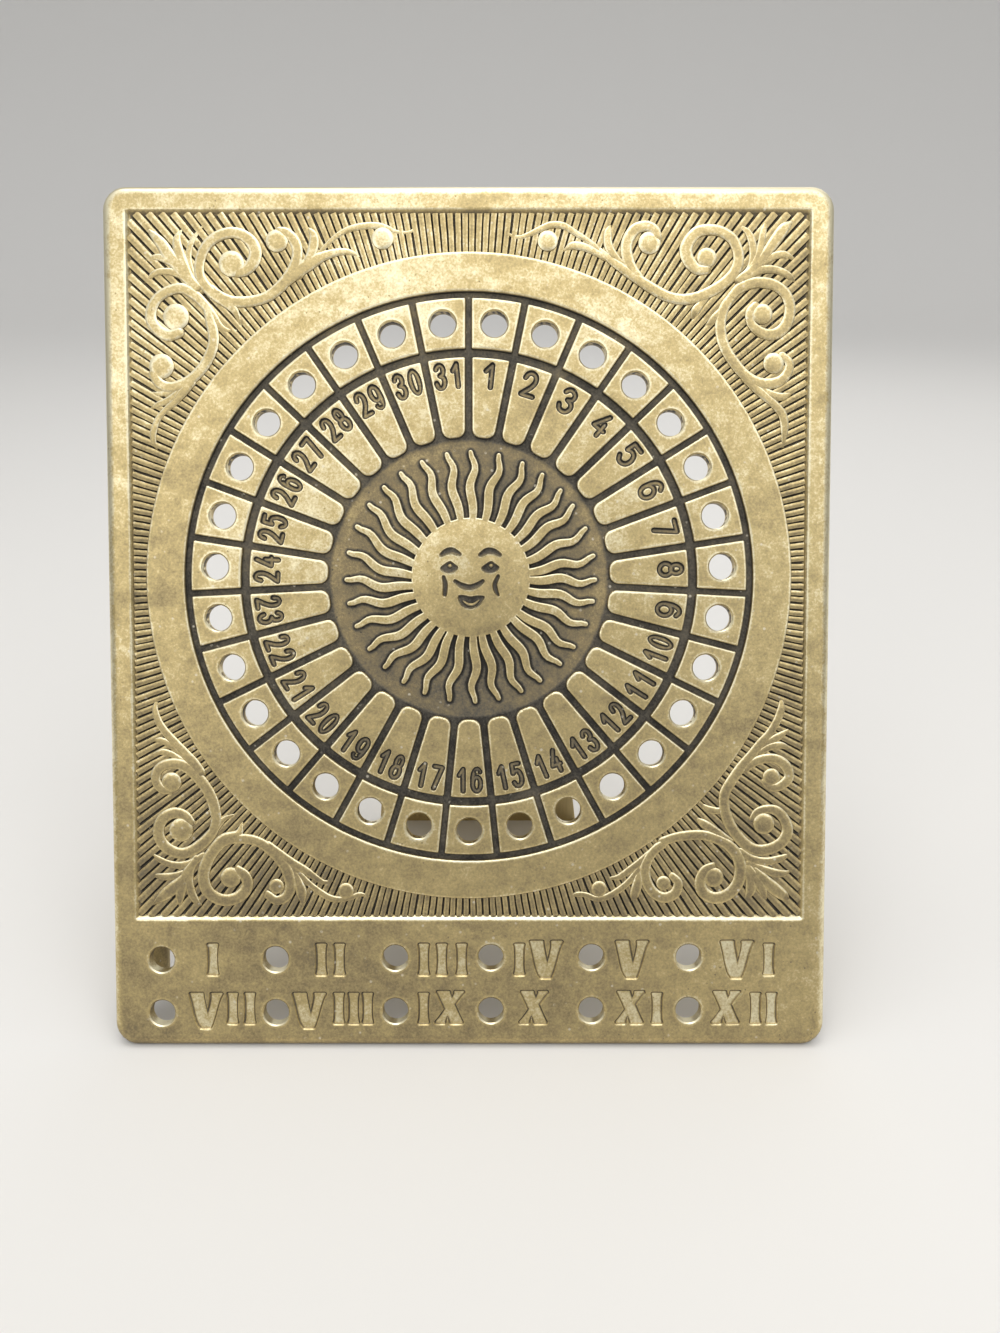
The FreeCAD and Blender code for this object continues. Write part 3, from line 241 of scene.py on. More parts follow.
# The corner scrollwork, stroke by stroke: x, y and width at each point along a stroke, and
# x, y and radius of each curl's eye
UPPER_LEFT_STROKES = (
    ((-34.6, 38.4, 0.3), (-35.5, 40.7, 1.1), (-37.1, 42.1, 1.5), (-38.7, 43.2, 1.6),
     (-40.1, 44.7, 1.6), (-40.8, 46.4, 1.5), (-40.6, 48.4, 1.5), (-39.8, 50.2, 1.5),
     (-38.3, 51.6, 1.6), (-36.3, 52.3, 1.6), (-34.4, 52.1, 1.6), (-32.9, 51.0, 1.8),
     (-32.25, 49.4, 1.9), (-32.7, 47.8, 1.9), (-33.8, 46.7, 1.6), (-35.0, 46.4, 1.4)),
    ((-39.0, 44.0, 1.2), (-37.6, 42.8, 1.5), (-36.0, 42.1, 1.6), (-34.2, 42.0, 1.6),
     (-32.4, 42.2, 1.6), (-30.5, 42.8, 1.6), (-28.7, 44.1, 1.7), (-27.1, 46.0, 1.7),
     (-26.2, 47.8, 1.6), (-25.9, 49.6, 1.6), (-26.4, 51.2, 1.6), (-27.5, 52.3, 1.4),
     (-28.7, 52.6, 1.2)),
    ((-30.0, 43.2, 1.3), (-28.0, 44.8, 1.6), (-26.0, 46.4, 1.8), (-24.0, 47.8, 2.0),
     (-22.0, 48.8, 1.4), (-20.0, 49.4, 1.1), (-18.4, 49.5, 0.9), (-17.2, 49.2, 0.6),
     (-16.6, 48.8, 0.3)),
    ((-23.2, 48.8, 0.6), (-22.4, 49.6, 0.6), (-21.0, 51.0, 0.7), (-19.6, 52.1, 0.8),
     (-18.0, 52.9, 0.9), (-16.0, 53.3, 1.0), (-14.0, 53.4, 1.0), (-12.4, 53.1, 0.8),
     (-11.2, 52.6, 0.6), (-10.0, 52.4, 0.5), (-8.8, 52.5, 0.5), (-7.9, 53.2, 0.3)),
    ((-25.6, 46.0, 1.2), (-24.6, 47.6, 1.3), (-23.8, 49.2, 1.4), (-23.4, 50.7, 1.5),
     (-23.5, 52.1, 1.1), (-24.5, 53.2, 0.3)),
    ((-40.6, 43.6, 0.9), (-41.4, 45.2, 1.0), (-42.1, 46.8, 1.0), (-42.4, 49.0, 0.9),
     (-41.8, 51.2, 0.8), (-40.1, 53.6, 0.2)),
    ((-42.0, 44.9, 1.5), (-42.9, 46.8, 1.6), (-43.6, 48.7, 1.6), (-44.1, 50.6, 1.4),
     (-44.0, 51.9, 0.9), (-43.3, 52.9, 0.2)),
    ((-42.2, 45.2, 1.8), (-43.7, 47.1, 2.0), (-45.3, 48.9, 1.9), (-46.5, 50.7, 1.7),
     (-47.6, 51.9, 1.1), (-48.8, 53.1, 0.2)),
    ((-43.2, 47.1, 1.4), (-45.4, 48.2, 1.3), (-46.9, 48.7, 1.0), (-48.0, 48.6, 0.7),
     (-48.9, 48.3, 0.2)),
    ((-41.2, 44.2, 1.6), (-42.4, 45.3, 1.5), (-43.95, 46.2, 1.2), (-45.8, 46.6, 1.0),
     (-47.4, 46.4, 0.9), (-48.4, 45.6, 0.6), (-49.1, 45.0, 0.2)),
    ((-35.3, 37.8, 0.2), (-36.7, 37.8, 0.6), (-37.8, 38.5, 0.9), (-38.7, 39.8, 1.2),
     (-39.9, 41.4, 1.4), (-41.5, 43.0, 1.5), (-43.3, 44.0, 1.5), (-45.1, 43.8, 1.5),
     (-46.9, 42.8, 1.5), (-48.0, 41.2, 1.6), (-48.2, 39.4, 1.7), (-47.2, 37.8, 1.7),
     (-45.6, 37.0, 1.7), (-43.95, 37.4, 1.5)),
    ((-39.7, 41.4, 1.2), (-39.2, 39.1, 1.5), (-38.8, 37.4, 1.6), (-38.8, 35.7, 1.6),
     (-39.4, 33.9, 1.6), (-40.5, 32.1, 1.6), (-42.1, 30.5, 1.6), (-43.7, 29.6, 1.6),
     (-45.5, 29.2, 1.5), (-47.1, 29.8, 1.5), (-48.0, 31.2, 1.4)),
    ((-44.6, 28.9, 0.9), (-45.9, 28.4, 0.8), (-47.4, 28.2, 0.7), (-48.7, 28.5, 0.2)),
    ((-43.2, 28.9, 1.2), (-44.3, 28.2, 1.2), (-45.8, 27.25, 1.0), (-47.4, 26.6, 0.8),
     (-48.5, 26.0, 0.3)),
    ((-42.2, 30.0, 1.4), (-43.5, 28.5, 1.4), (-44.9, 26.9, 1.1), (-46.2, 25.8, 0.9),
     (-47.4, 24.4, 0.9), (-48.0, 22.8, 1.0), (-48.2, 21.5, 0.9), (-47.7, 19.9, 0.3)),
)
UPPER_RIGHT_STROKES = (
    ((5.7, 52.3, 0.3), (7.5, 51.7, 0.6), (8.9, 52.0, 0.7), (10.7, 52.8, 0.9),
     (12.5, 53.5, 1.0), (14.3, 53.4, 1.0), (16.1, 52.4, 0.9), (17.9, 51.3, 0.8),
     (19.1, 50.4, 0.8), (20.0, 49.5, 0.6)),
    ((14.4, 49.7, 0.3), (15.7, 50.4, 1.1), (17.5, 50.2, 1.2), (19.3, 49.4, 1.0),
     (20.7, 48.6, 0.9)),
    ((21.5, 53.5, 0.3), (21.1, 52.4, 1.1), (21.1, 50.9, 1.3), (21.5, 49.7, 1.3),
     (22.5, 48.4, 1.1), (23.6, 47.4, 0.8)),
    ((20.0, 49.7, 0.8), (21.8, 48.1, 1.2), (23.9, 46.6, 1.4), (25.7, 45.4, 1.5),
     (27.9, 44.0, 1.6), (30.0, 42.9, 1.6), (32.1, 42.4, 1.6), (34.3, 42.6, 1.6),
     (36.4, 43.4, 1.6), (38.6, 44.7, 1.6), (40.2, 46.3, 1.6), (40.9, 48.1, 1.6),
     (40.7, 49.9, 1.6), (39.8, 51.5, 1.6), (38.2, 52.5, 1.6), (36.4, 52.8, 1.6),
     (34.6, 52.4, 1.7), (33.4, 51.1, 1.8), (32.9, 49.7, 1.9), (33.4, 48.1, 1.8),
     (34.6, 46.9, 1.6), (36.1, 46.8, 1.3)),
    ((26.1, 45.4, 1.2), (24.8, 47.0, 1.5), (24.1, 48.6, 1.7), (23.9, 50.4, 1.7),
     (24.5, 52.0, 1.7), (25.5, 53.0, 1.6), (27.0, 53.3, 1.6), (28.2, 52.7, 1.5),
     (28.6, 51.5, 1.3)),
    ((36.3, 42.9, 0.8), (35.2, 41.6, 1.1), (34.4, 40.6, 1.3), (34.1, 39.7, 0.6)),
    ((40.2, 42.7, 0.9), (38.75, 40.9, 1.2), (37.3, 39.5, 1.2), (36.1, 38.4, 0.4)),
    ((39.8, 42.7, 1.3), (41.1, 44.0, 1.5), (42.9, 44.8, 1.6), (44.6, 44.9, 1.6),
     (46.4, 44.5, 1.6), (48.0, 43.3, 1.6), (48.75, 41.5, 1.6), (48.6, 39.5, 1.7),
     (47.7, 37.9, 1.7), (46.1, 37.1, 1.6), (44.3, 37.5, 1.5), (42.9, 38.8, 1.3),
     (42.7, 40.4, 1.3), (43.6, 41.5, 1.2)),
    ((40.4, 43.3, 1.2), (38.9, 41.3, 1.5), (38.3, 39.1, 1.6), (38.4, 37.0, 1.6),
     (39.1, 34.9, 1.6), (40.4, 32.9, 1.6), (42.0, 31.1, 1.6), (43.8, 30.0, 1.6),
     (45.7, 29.7, 1.6), (47.5, 30.2, 1.5), (48.6, 31.5, 1.4), (48.75, 32.9, 1.3),
     (47.7, 34.0, 1.1)),
    ((42.5, 30.75, 0.9), (44.3, 29.1, 1.1), (46.4, 28.0, 1.2), (48.0, 27.8, 1.1),
     (49.3, 28.4, 0.3)),
    ((42.1, 30.6, 1.3), (44.5, 28.4, 1.3), (46.6, 26.6, 1.2), (47.9, 24.9, 1.3),
     (48.2, 22.7, 1.1), (48.0, 20.2, 0.3)),
    ((40.9, 45.2, 1.2), (42.5, 46.6, 1.2), (43.1, 48.4, 1.2), (43.0, 50.6, 1.2),
     (42.3, 52.4, 1.0), (40.9, 53.5, 0.3)),
    ((42.3, 46.3, 1.2), (43.75, 48.4, 1.3), (44.3, 50.6, 1.1), (44.6, 52.4, 1.0),
     (45.0, 53.8, 0.5)),
    ((42.5, 46.3, 1.4), (44.6, 48.6, 1.4), (46.4, 51.1, 1.7), (47.7, 52.9, 1.6),
     (48.9, 54.0, 0.5)),
    ((42.9, 46.3, 1.3), (44.6, 47.9, 1.2), (46.4, 48.9, 1.1), (48.0, 49.1, 1.0),
     (49.4, 48.4, 0.4)),
    ((41.75, 45.4, 1.2), (43.6, 46.6, 1.3), (45.5, 46.9, 1.2), (47.3, 46.6, 1.1),
     (48.6, 45.9, 1.0), (49.5, 45.1, 0.3)),
)
LOWER_LEFT_STROKES = (
    ((-35.3, -37.6, 0.3), (-35.9, -39.4, 1.3), (-38.0, -40.2, 1.8), (-39.4, -41.6, 1.8),
     (-40.5, -43.2, 1.8), (-41.2, -45.0, 1.8), (-41.3, -46.6, 1.8), (-40.8, -48.2, 1.8),
     (-39.6, -49.3, 1.8), (-38.0, -49.8, 1.8), (-36.4, -49.5, 1.8), (-35.1, -48.6, 1.8),
     (-34.5, -47.3, 1.7), (-34.9, -45.9, 1.6), (-36.0, -45.0, 1.3)),
    ((-38.6, -40.9, 1.3), (-37.0, -40.2, 1.5), (-34.4, -40.2, 1.5), (-32.6, -40.7, 1.5),
     (-31.0, -41.8, 1.6), (-29.6, -43.2, 1.6), (-28.5, -44.8, 1.7), (-27.9, -46.6, 1.7),
     (-27.9, -48.2, 1.6), (-28.7, -49.4, 1.5), (-30.1, -49.8, 1.4), (-31.4, -48.9, 1.2)),
    ((-31.2, -41.2, 1.3), (-29.6, -42.4, 1.3), (-27.65, -43.8, 1.3), (-25.5, -45.1, 1.2),
     (-24.0, -46.2, 1.0), (-22.65, -47.0, 0.7), (-21.35, -46.8, 0.3)),
    ((-27.6, -44.4, 1.0), (-26.1, -46.0, 0.9), (-24.8, -47.3, 0.9), (-23.3, -48.5, 1.0),
     (-21.8, -49.4, 1.0), (-20.3, -49.7, 0.9), (-18.5, -49.4, 0.8), (-17.0, -48.9, 0.7),
     (-15.7, -49.3, 0.3)),
    ((-27.3, -45.2, 0.9), (-26.6, -46.8, 1.2), (-26.1, -48.6, 1.6), (-26.0, -50.5, 0.4)),
    ((-42.4, -43.2, 1.1), (-43.3, -44.8, 1.2), (-43.6, -46.6, 1.3), (-43.3, -48.4, 1.3),
     (-42.5, -50.0, 1.0), (-41.9, -50.6, 0.4)),
    ((-42.6, -43.6, 1.2), (-43.8, -45.2, 1.3), (-44.6, -47.2, 1.5), (-45.0, -49.0, 1.4),
     (-45.1, -50.7, 0.4)),
    ((-43.6, -45.4, 1.3), (-44.8, -46.9, 1.8), (-46.2, -48.0, 1.9), (-47.6, -49.1, 1.6),
     (-49.4, -50.6, 0.2)),
    ((-43.4, -45.2, 0.9), (-44.6, -45.6, 1.0), (-46.0, -46.0, 1.1), (-47.6, -46.1, 1.1),
     (-49.1, -45.9, 0.5)),
    ((-41.4, -42.8, 1.0), (-43.2, -43.9, 1.1), (-45.1, -44.3, 1.1), (-46.9, -44.0, 1.0),
     (-48.3, -43.3, 0.8), (-49.2, -42.6, 0.3)),
    ((-36.2, -36.4, 0.3), (-37.8, -36.9, 0.7), (-39.2, -38.2, 1.2), (-40.2, -39.6, 1.6),
     (-41.5, -40.9, 1.7), (-43.3, -42.1, 1.7), (-45.1, -42.4, 1.7), (-46.9, -41.6, 1.7),
     (-48.0, -40.2, 1.7), (-48.2, -38.4, 1.7), (-47.4, -36.9, 1.7), (-45.8, -36.1, 1.7),
     (-44.1, -36.5, 1.5), (-43.1, -37.6, 1.2)),
    ((-40.2, -39.8, 1.2), (-39.3, -37.4, 1.5), (-39.5, -35.2, 1.7), (-40.1, -33.4, 1.7),
     (-41.0, -31.8, 1.7), (-42.3, -30.2, 1.7), (-43.7, -29.0, 1.7), (-45.3, -28.4, 1.6),
     (-47.1, -28.6, 1.5), (-48.3, -29.6, 1.5), (-48.5, -31.1, 1.4), (-47.6, -32.4, 1.3),
     (-46.2, -32.7, 1.0)),
    ((-43.6, -28.5, 0.9), (-44.8, -27.8, 1.0), (-46.2, -26.9, 0.9), (-47.6, -26.6, 0.9),
     (-49.0, -27.1, 0.4)),
    ((-43.2, -27.6, 0.9), (-44.4, -26.7, 1.0), (-46.0, -25.7, 1.0), (-47.6, -24.8, 0.9),
     (-49.3, -24.8, 0.3)),
    ((-41.6, -29.8, 1.6), (-42.7, -28.3, 1.7), (-44.0, -26.8, 1.5), (-45.6, -25.0, 1.3),
     (-47.0, -23.4, 1.2), (-48.0, -21.8, 1.1), (-48.5, -20.0, 0.9), (-48.3, -18.6, 0.3)),
)
LOWER_RIGHT_STROKES = (
    ((48.2, -18.3, 0.4), (48.2, -19.9, 1.1), (47.5, -21.9, 1.2), (46.4, -23.7, 1.2),
     (45.0, -25.3, 1.3), (43.6, -27.1, 1.4), (42.1, -28.9, 1.5)),
    ((49.3, -23.3, 0.5), (47.9, -24.2, 1.1), (46.1, -25.2, 1.0), (44.5, -26.4, 0.8)),
    ((49.9, -26.4, 0.4), (48.4, -25.6, 1.0), (46.6, -25.8, 1.1), (45.0, -26.7, 0.9)),
    ((42.9, -29.2, 1.1), (44.3, -28.1, 1.3), (46.1, -27.6, 1.4), (47.7, -27.8, 1.5),
     (49.1, -28.9, 1.6), (49.5, -30.6, 1.5), (48.2, -31.9, 1.4), (46.8, -32.1, 1.2),
     (45.7, -31.2, 1.0)),
    ((42.1, -28.9, 1.5), (40.7, -31.0, 1.6), (39.6, -33.1, 1.6), (39.6, -35.3, 1.6),
     (40.2, -37.4, 1.7), (41.4, -39.4, 1.7), (42.9, -41.0, 1.7), (44.6, -41.9, 1.7),
     (46.8, -41.7, 1.7), (48.6, -40.6, 1.7), (49.4, -38.9, 1.7), (48.9, -37.1, 1.6),
     (47.7, -35.8, 1.5), (46.1, -35.5, 1.3), (44.6, -36.0, 1.1), (43.9, -37.1, 0.9)),
    ((36.1, -34.9, 0.5), (37.3, -35.6, 1.1), (38.6, -35.8, 1.0), (39.5, -35.5, 0.9)),
    ((35.5, -37.1, 0.5), (36.4, -37.8, 1.3), (38.2, -38.9, 1.2), (39.6, -39.9, 1.1),
     (40.7, -40.6, 0.9)),
    ((30.0, -40.6, 1.4), (32.1, -39.9, 1.4), (34.3, -39.6, 1.5), (36.4, -39.6, 1.5),
     (38.2, -40.1, 1.5), (40.0, -41.0, 1.6), (41.4, -42.4, 1.8), (42.1, -44.2, 1.8),
     (42.0, -46.4, 1.8), (41.1, -48.1, 1.8), (39.6, -49.2, 1.8), (37.9, -49.4, 1.8),
     (36.4, -48.5, 1.8), (35.9, -46.9, 1.7), (36.6, -45.1, 1.4), (37.9, -44.4, 1.1)),
    ((29.3, -41.4, 1.3), (27.9, -43.1, 1.5), (27.3, -45.1, 1.6), (27.7, -47.1, 1.6),
     (28.8, -48.7, 1.6), (30.4, -49.4, 1.6), (32.0, -48.7, 1.6), (32.5, -47.1, 1.4),
     (31.6, -46.0, 1.1)),
    ((30.0, -41.0, 1.4), (28.2, -42.4, 1.2), (26.4, -43.9, 1.1), (24.6, -45.3, 1.1),
     (23.2, -46.2, 0.9), (21.8, -46.4, 0.4)),
    ((26.4, -44.9, 1.0), (25.0, -46.7, 1.0), (23.4, -48.1, 1.0), (21.6, -49.2, 1.0),
     (19.8, -49.6, 0.9), (18.2, -49.0, 0.8), (16.8, -48.9, 0.8), (15.9, -49.2, 0.3)),
    ((26.4, -45.6, 1.0), (26.1, -47.4, 1.5), (25.7, -48.9, 1.4), (25.5, -49.8, 0.5)),
    ((42.1, -42.1, 1.1), (43.9, -43.3, 1.2), (46.1, -43.7, 1.2), (48.2, -43.3, 1.1),
     (49.8, -42.6, 0.4)),
    ((43.4, -44.0, 1.0), (45.4, -44.8, 1.1), (47.5, -45.5, 1.3), (48.9, -45.6, 1.0),
     (49.8, -45.3, 0.4)),
    ((43.9, -44.6, 1.0), (45.7, -46.4, 1.6), (47.5, -48.0, 1.9), (49.1, -49.2, 1.4),
     (49.8, -49.8, 0.3)),
    ((43.4, -44.6, 1.1), (44.6, -46.4, 1.5), (45.5, -48.0, 1.5), (46.1, -49.6, 0.5)),
    ((43.0, -44.9, 1.0), (43.75, -46.7, 1.5), (43.75, -48.3, 1.5), (43.2, -49.6, 0.5)),
)
SCROLL_STROKES = (UPPER_LEFT_STROKES + UPPER_RIGHT_STROKES + LOWER_LEFT_STROKES
                  + LOWER_RIGHT_STROKES)
SCROLL_EYES = ((-35.9, 47.7, 1.9), (-29.0, 51.1, 1.65), (-13.0, 51.45, 1.6), (-44.4, 39.75, 1.95),
               (-46.7, 32.35, 1.85), (12.0, 51.1, 1.5), (36.1, 48.6, 1.45), (27.4, 50.8, 1.65),
               (44.6, 40.2, 1.5), (46.4, 32.8, 1.55), (-37.1, -46.2, 1.55), (-30.0, -47.6, 1.15),
               (-19.2, -48.3, 1.2), (-44.7, -38.75, 1.8), (-46.1, -31.3, 1.5),
               (46.8, -30.5, 1.3), (45.7, -37.8, 1.6), (38.0, -46.2, 1.5), (30.2, -47.1, 1.1),
               (20.2, -48.0, 1.2))
SCROLL_HEIGHT = 0.62
SCROLL_STEP = 0.35
SCROLL_FULL_WIDTH = 1.5
TIP_TURNS = np.radians((30, 55, 75))
# Across half a stroke, from its side to its middle: share of its half width, share of its
# height, wear and painted shade; near black at its foot, as patina and painted shadow
SCROLL_SIDE = ((1.0, 0.0, 0.05), (0.97, 0.5, 0.5), (0.9, 0.88, 1.0), (0.72, 1.0, 0.95),
               (0.45, 1.03, 0.74))
SCROLL_SECTION = (*((-share, *rest) for share, *rest in SCROLL_SIDE), (0.0, 1.04, 0.72),
                  *SCROLL_SIDE[::-1])
# Each ring of an eye, from its foot inwards: share of its radius, share of the height, wear and painted
# shade; near black at its foot, as patina and painted shadow
EYE_SECTION = ((1.0, 0.0, 0.05), (0.97, 0.5, 0.5), (0.92, 0.88, 1.0), (0.8, 1.0, 0.95),
               (0.55, 1.05, 0.74), (0.2, 1.08, 0.74))
# How much wider than written the strokes and eyes lie at their feet
STROKE_SPREAD = 1.12
EYE_SPREAD = 1.1
EYE_STEPS = 28

# The back: hinge pad and peg sockets
HINGE_HEIGHT = 92.3
PAD_HALF_WIDTH = 15.3
PAD_LOW = 2.8
PAD_HIGH = 16.3
PAD_THICKNESS = 1.8
PAD_CORNER_RADIUS = 0.8
PAD_STEPS = ((0.0, 0.0, 0.0), (0.08, PAD_THICKNESS - 0.12, 0.1), (0.2, PAD_THICKNESS, 0.2),
             (0.5, PAD_THICKNESS, 0.0))
SOCKET_RADIUS = 2.9
SOCKET_EDGE_MARGIN = 0.9
SOCKET_X = PLATE_WIDTH / 2 - SOCKET_EDGE_MARGIN - SOCKET_RADIUS
SOCKET_BASE = 8.5
SOCKET_LENGTH = 9.0
SOCKET_BORE_DEPTH = 5.0
SOCKET_STAND_OFF = 4.4
SOCKET_EDGE = 0.25
SOCKET_EDGE_WEAR = 0.15
SOCKET_BOTTOM_WEAR = 0.1
SOCKET_ARC_DEGREES = 9

CURVE_STEP = 0.28
MITRE_LIMIT = 0.5
REACH_MARGIN = 1.0
GUARD_BEFORE = 0.15
GUARD_AFTER = 0.2
MERGE_DISTANCE = 0.0005
CUT_TOLERANCE = 1e-6
SHARP_ANGLE = math.radians(38)
SEED = 7
# How much of a spot of pits or dust is at its full strength
SPOT_CORE_SHARE = 0.6


def plate_matrix():
    """From plate millimetres to the row frame: the plate leans back on its filed edge."""
    rise = REST_FLAT_WIDTH * math.sin(LEAN) * math.cos(LEAN)
    middle = (rise * math.tan(LEAN) - rise / math.tan(LEAN)) / 2
    place = Matrix.Translation((0, -middle * MM, -rise * MM))
    turn = Matrix.Rotation(math.pi / 2 - LEAN, 4, "X")
    return place @ turn @ Matrix.Scale(MM, 4) @ Matrix.Translation((0, DIAL_HEIGHT, 0))


PLATE = plate_matrix()


def circle(x, y, radius, steps):
    """A round outline, anticlockwise."""
    turns = np.arange(steps) * (2 * math.pi / steps)
    return np.column_stack((x + radius * np.cos(turns), y + radius * np.sin(turns)))


def ellipse(x, y, wide, high, steps):
    return circle(0, 0, 1, steps) * (wide, high) + (x, y)


def round_corners(corners, steps=5):
    """An outline through corners of x, y and radius, each corner rounded by its radius."""
    rows = np.array(corners, float)
    outline = []
    for before, here, after in zip(np.roll(rows, 1, 0), rows, np.roll(rows, -1, 0)):
        radius = here[2]
        if radius == 0:
            outline.append(here[:2])
            continue
        back = before[:2] - here[:2]
        ahead = after[:2] - here[:2]
        back /= np.hypot(*back)
        ahead /= np.hypot(*ahead)
        half = math.acos(np.clip(back @ ahead, -1, 1)) / 2
        bisector = (back + ahead) / np.hypot(*(back + ahead))
        centre = here[:2] + bisector * (radius / math.sin(half))
        first = here[:2] + back * (radius / math.tan(half)) - centre
        last = here[:2] + ahead * (radius / math.tan(half)) - centre
        for i in range(steps + 1):
            spoke = first * (steps - i) + last * i
            outline.append(centre + spoke * (radius / np.hypot(*spoke)))
    return np.array(outline)


def box_outline(left, low, right, high, radius):
    corners = ((left, low), (right, low), (right, high), (left, high))
    return round_corners([(x, y, radius) for x, y in corners], BOX_CORNER_STEPS)


def turn_points(points, angle, x=0.0, y=0.0):
    """Points turned clockwise by the angle, then moved."""
    cosine = math.cos(angle)
    sine = math.sin(angle)
    flat = np.asarray(points, float)
    return np.column_stack((flat[:, 0] * cosine + flat[:, 1] * sine + x,
                            flat[:, 1] * cosine - flat[:, 0] * sine + y))


def offset(loop, inset):
    """The outline moved to its left by inset, which is inwards where it is anticlockwise."""
    before = loop - np.roll(loop, 1, axis=0)
    after = np.roll(loop, -1, axis=0) - loop
    normals = []
    for step in (before, after):
        length = np.hypot(step[:, 0], step[:, 1])[:, None]
        normals.append(np.column_stack((-step[:, 1], step[:, 0])) / length)
    middle = normals[0] + normals[1]
    middle /= np.hypot(middle[:, 0], middle[:, 1])[:, None]
    length = inset / np.maximum((middle * normals[0]).sum(1), MITRE_LIMIT)
    return loop + middle * length[:, None]


def depth(points, shape):
    """How far inside a shape each point lies, negative outside. A shape is a list of loops."""
    nearest = np.full(len(points), np.inf)
    inside = np.zeros(len(points), bool)
    for loop in shape:
        start = np.asarray(loop)
        edge = np.roll(start, -1, axis=0) - start
        to_point = points[:, None, :] - start
        along = (to_point * edge).sum(2) / (edge ** 2).sum(1)
        away = to_point - edge * np.clip(along, 0, 1)[..., None]
        nearest = np.minimum(nearest, np.hypot(away[..., 0], away[..., 1]).min(1))
        low = start[:, 1] <= points[:, None, 1]
        high = start[:, 1] + edge[:, 1] <= points[:, None, 1]
        side = edge[:, 0] * to_point[..., 1] - edge[:, 1] * to_point[..., 0]
        crossed = (low & ~high & (side > 0)) | (~low & high & (side < 0))
        inside ^= crossed.sum(1) % 2 == 1
    return np.where(inside, nearest, -nearest)


def reach(points, shapes):
    """How far inside the nearest of some shapes each point lies, negative outside them all.
    A point well away from every shape is endlessly far outside."""
    deepest = np.full(len(points), -np.inf)
    for shape in shapes:
        corners = np.vstack(shape)
        near = ((points > corners.min(axis=0) - REACH_MARGIN)
                & (points < corners.max(axis=0) + REACH_MARGIN)).all(axis=1)
        deepest[near] = np.maximum(deepest[near], depth(points[near], shape))
    return deepest


class Ramp:
    """A change of height and of wear and painted shade with the depth inside some shapes, or outside them.
    """

    def __init__(self, shapes, steps, outside=False):
        self.shapes = shapes
        self.insets, self.rises, self.wears = zip(*steps)
        self.side = -1 if outside else 1

    def loops(self):
        """The outline at each step, and one more beyond each end, which keeps shading local."""
        insets = (self.insets[0] - GUARD_BEFORE, *self.insets, self.insets[-1] + GUARD_AFTER)
        return [offset(np.asarray(loop), inset * self.side)
                for shape in self.shapes for loop in shape for inset in insets]

    def change(self, points):
        inside = reach(points, self.shapes) * self.side
        return (np.interp(inside, self.insets, self.rises),
                np.interp(inside, self.insets, self.wears))


def relief(points, height, wear, ramps):
    """Height, and wear with painted shade, at points, starting from one height and wear and adding each
    ramp's.
    """
    heights = np.full(len(points), float(height))
    wears = np.full(len(points), float(wear))
    for ramp in ramps:
        rise, change = ramp.change(points)
        heights += rise
        wears += change
    return heights, np.clip(wears, 0, 1)


class Piece:
    """A mesh gathered in plate millimetres, then set into the row frame as one object."""

    def __init__(self, name):
        self.name = name
        self.points = []
        self.faces = []
        self.wear = []

    def add(self, points, faces, wear):
        start = len(self.points)
        self.points.extend(tuple(point) for point in points)
        self.faces.extend(tuple(start + index for index in face) for face in faces)
        self.wear.extend(wear)

    def add_surface(self, shapes, height, wear, ramps=(), place=None):
        """A surface over the union of some shapes, its height, wear and painted shade given by the ramps.
        """
        loops = [loop for shape in shapes for loop in shape]
        loops += [loop for ramp in ramps for loop in ramp.loops()]
        flat = [Vector(point) for loop in loops for point in loop]
        ends = np.cumsum([len(loop) for loop in loops])
        faces = [list(range(end - len(loop), end)) for loop, end in zip(loops, ends)]
        found = delaunay_2d_cdt(flat, [], faces, 1, CUT_TOLERANCE)
        points = np.array([(point.x, point.y) for point in found[0]])
        triangles = np.array(found[2])
        kept = triangles[reach(points[triangles].mean(axis=1), shapes) > 0]
        heights, wears = relief(points, height, wear, ramps)
        self.add(lift(points, heights, place), kept, wears)

    def add_wall(self, loop, low, high, wear_and_shade_low, wear_and_shade_high, place=None):
        """A wall between two heights along a closed loop."""
        count = len(loop)
        points = np.vstack((lift(loop, np.full(count, low), place),
                            lift(loop, np.full(count, high), place)))
        faces = [(i, (i + 1) % count, count + (i + 1) % count, count + i) for i in range(count)]
        self.add(points, faces, [wear_and_shade_low] * count + [wear_and_shade_high] * count)

    def add_raised(self, shapes, low, steps, ramps=()):
        """A closed raised form: its sides and top rise from low as the steps say."""
        self.add_surface(shapes, low, 0, (Ramp(shapes, steps), *ramps))
        self.add_surface(shapes, low, 0)

    def add_run(self, points, wears, count):
        """A closed body from sections of so many points each, one after the other."""
        faces = [tuple(range(count)), tuple(range(len(points) - count, len(points)))]
        for start in range(0, len(points) - count, count):
            for i in range(count):
                j = (i + 1) % count
                faces.append((start + i, start + j, start + count + j, start + count + i))
        self.add(points, faces, wears)

    def make(self, material, body="plate"):
        mesh = bpy.data.meshes.new(self.name)
        mesh.from_pydata(self.points, [], self.faces)
        mesh.attributes.new("wear", "FLOAT", "POINT").data.foreach_set("value", self.wear)
        work = bmesh.new()
        work.from_mesh(mesh)
        bmesh.ops.remove_doubles(work, verts=work.verts, dist=MERGE_DISTANCE)
        loose = [vert for vert in work.verts if not vert.link_faces]
        bmesh.ops.delete(work, geom=loose, context="VERTS")
        bmesh.ops.dissolve_degenerate(work, edges=work.edges, dist=MERGE_DISTANCE)
        bmesh.ops.recalc_face_normals(work, faces=work.faces)
        work.to_mesh(mesh)
        work.free()
        mesh.transform(PLATE)
        piece = bpy.data.objects.new(self.name, mesh)
        bpy.context.scene.collection.objects.link(piece)
        mesh.materials.append(material)
        mesh.shade_smooth()
        mesh.set_sharp_from_angle(angle=SHARP_ANGLE)
        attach(piece, body)
        return piece


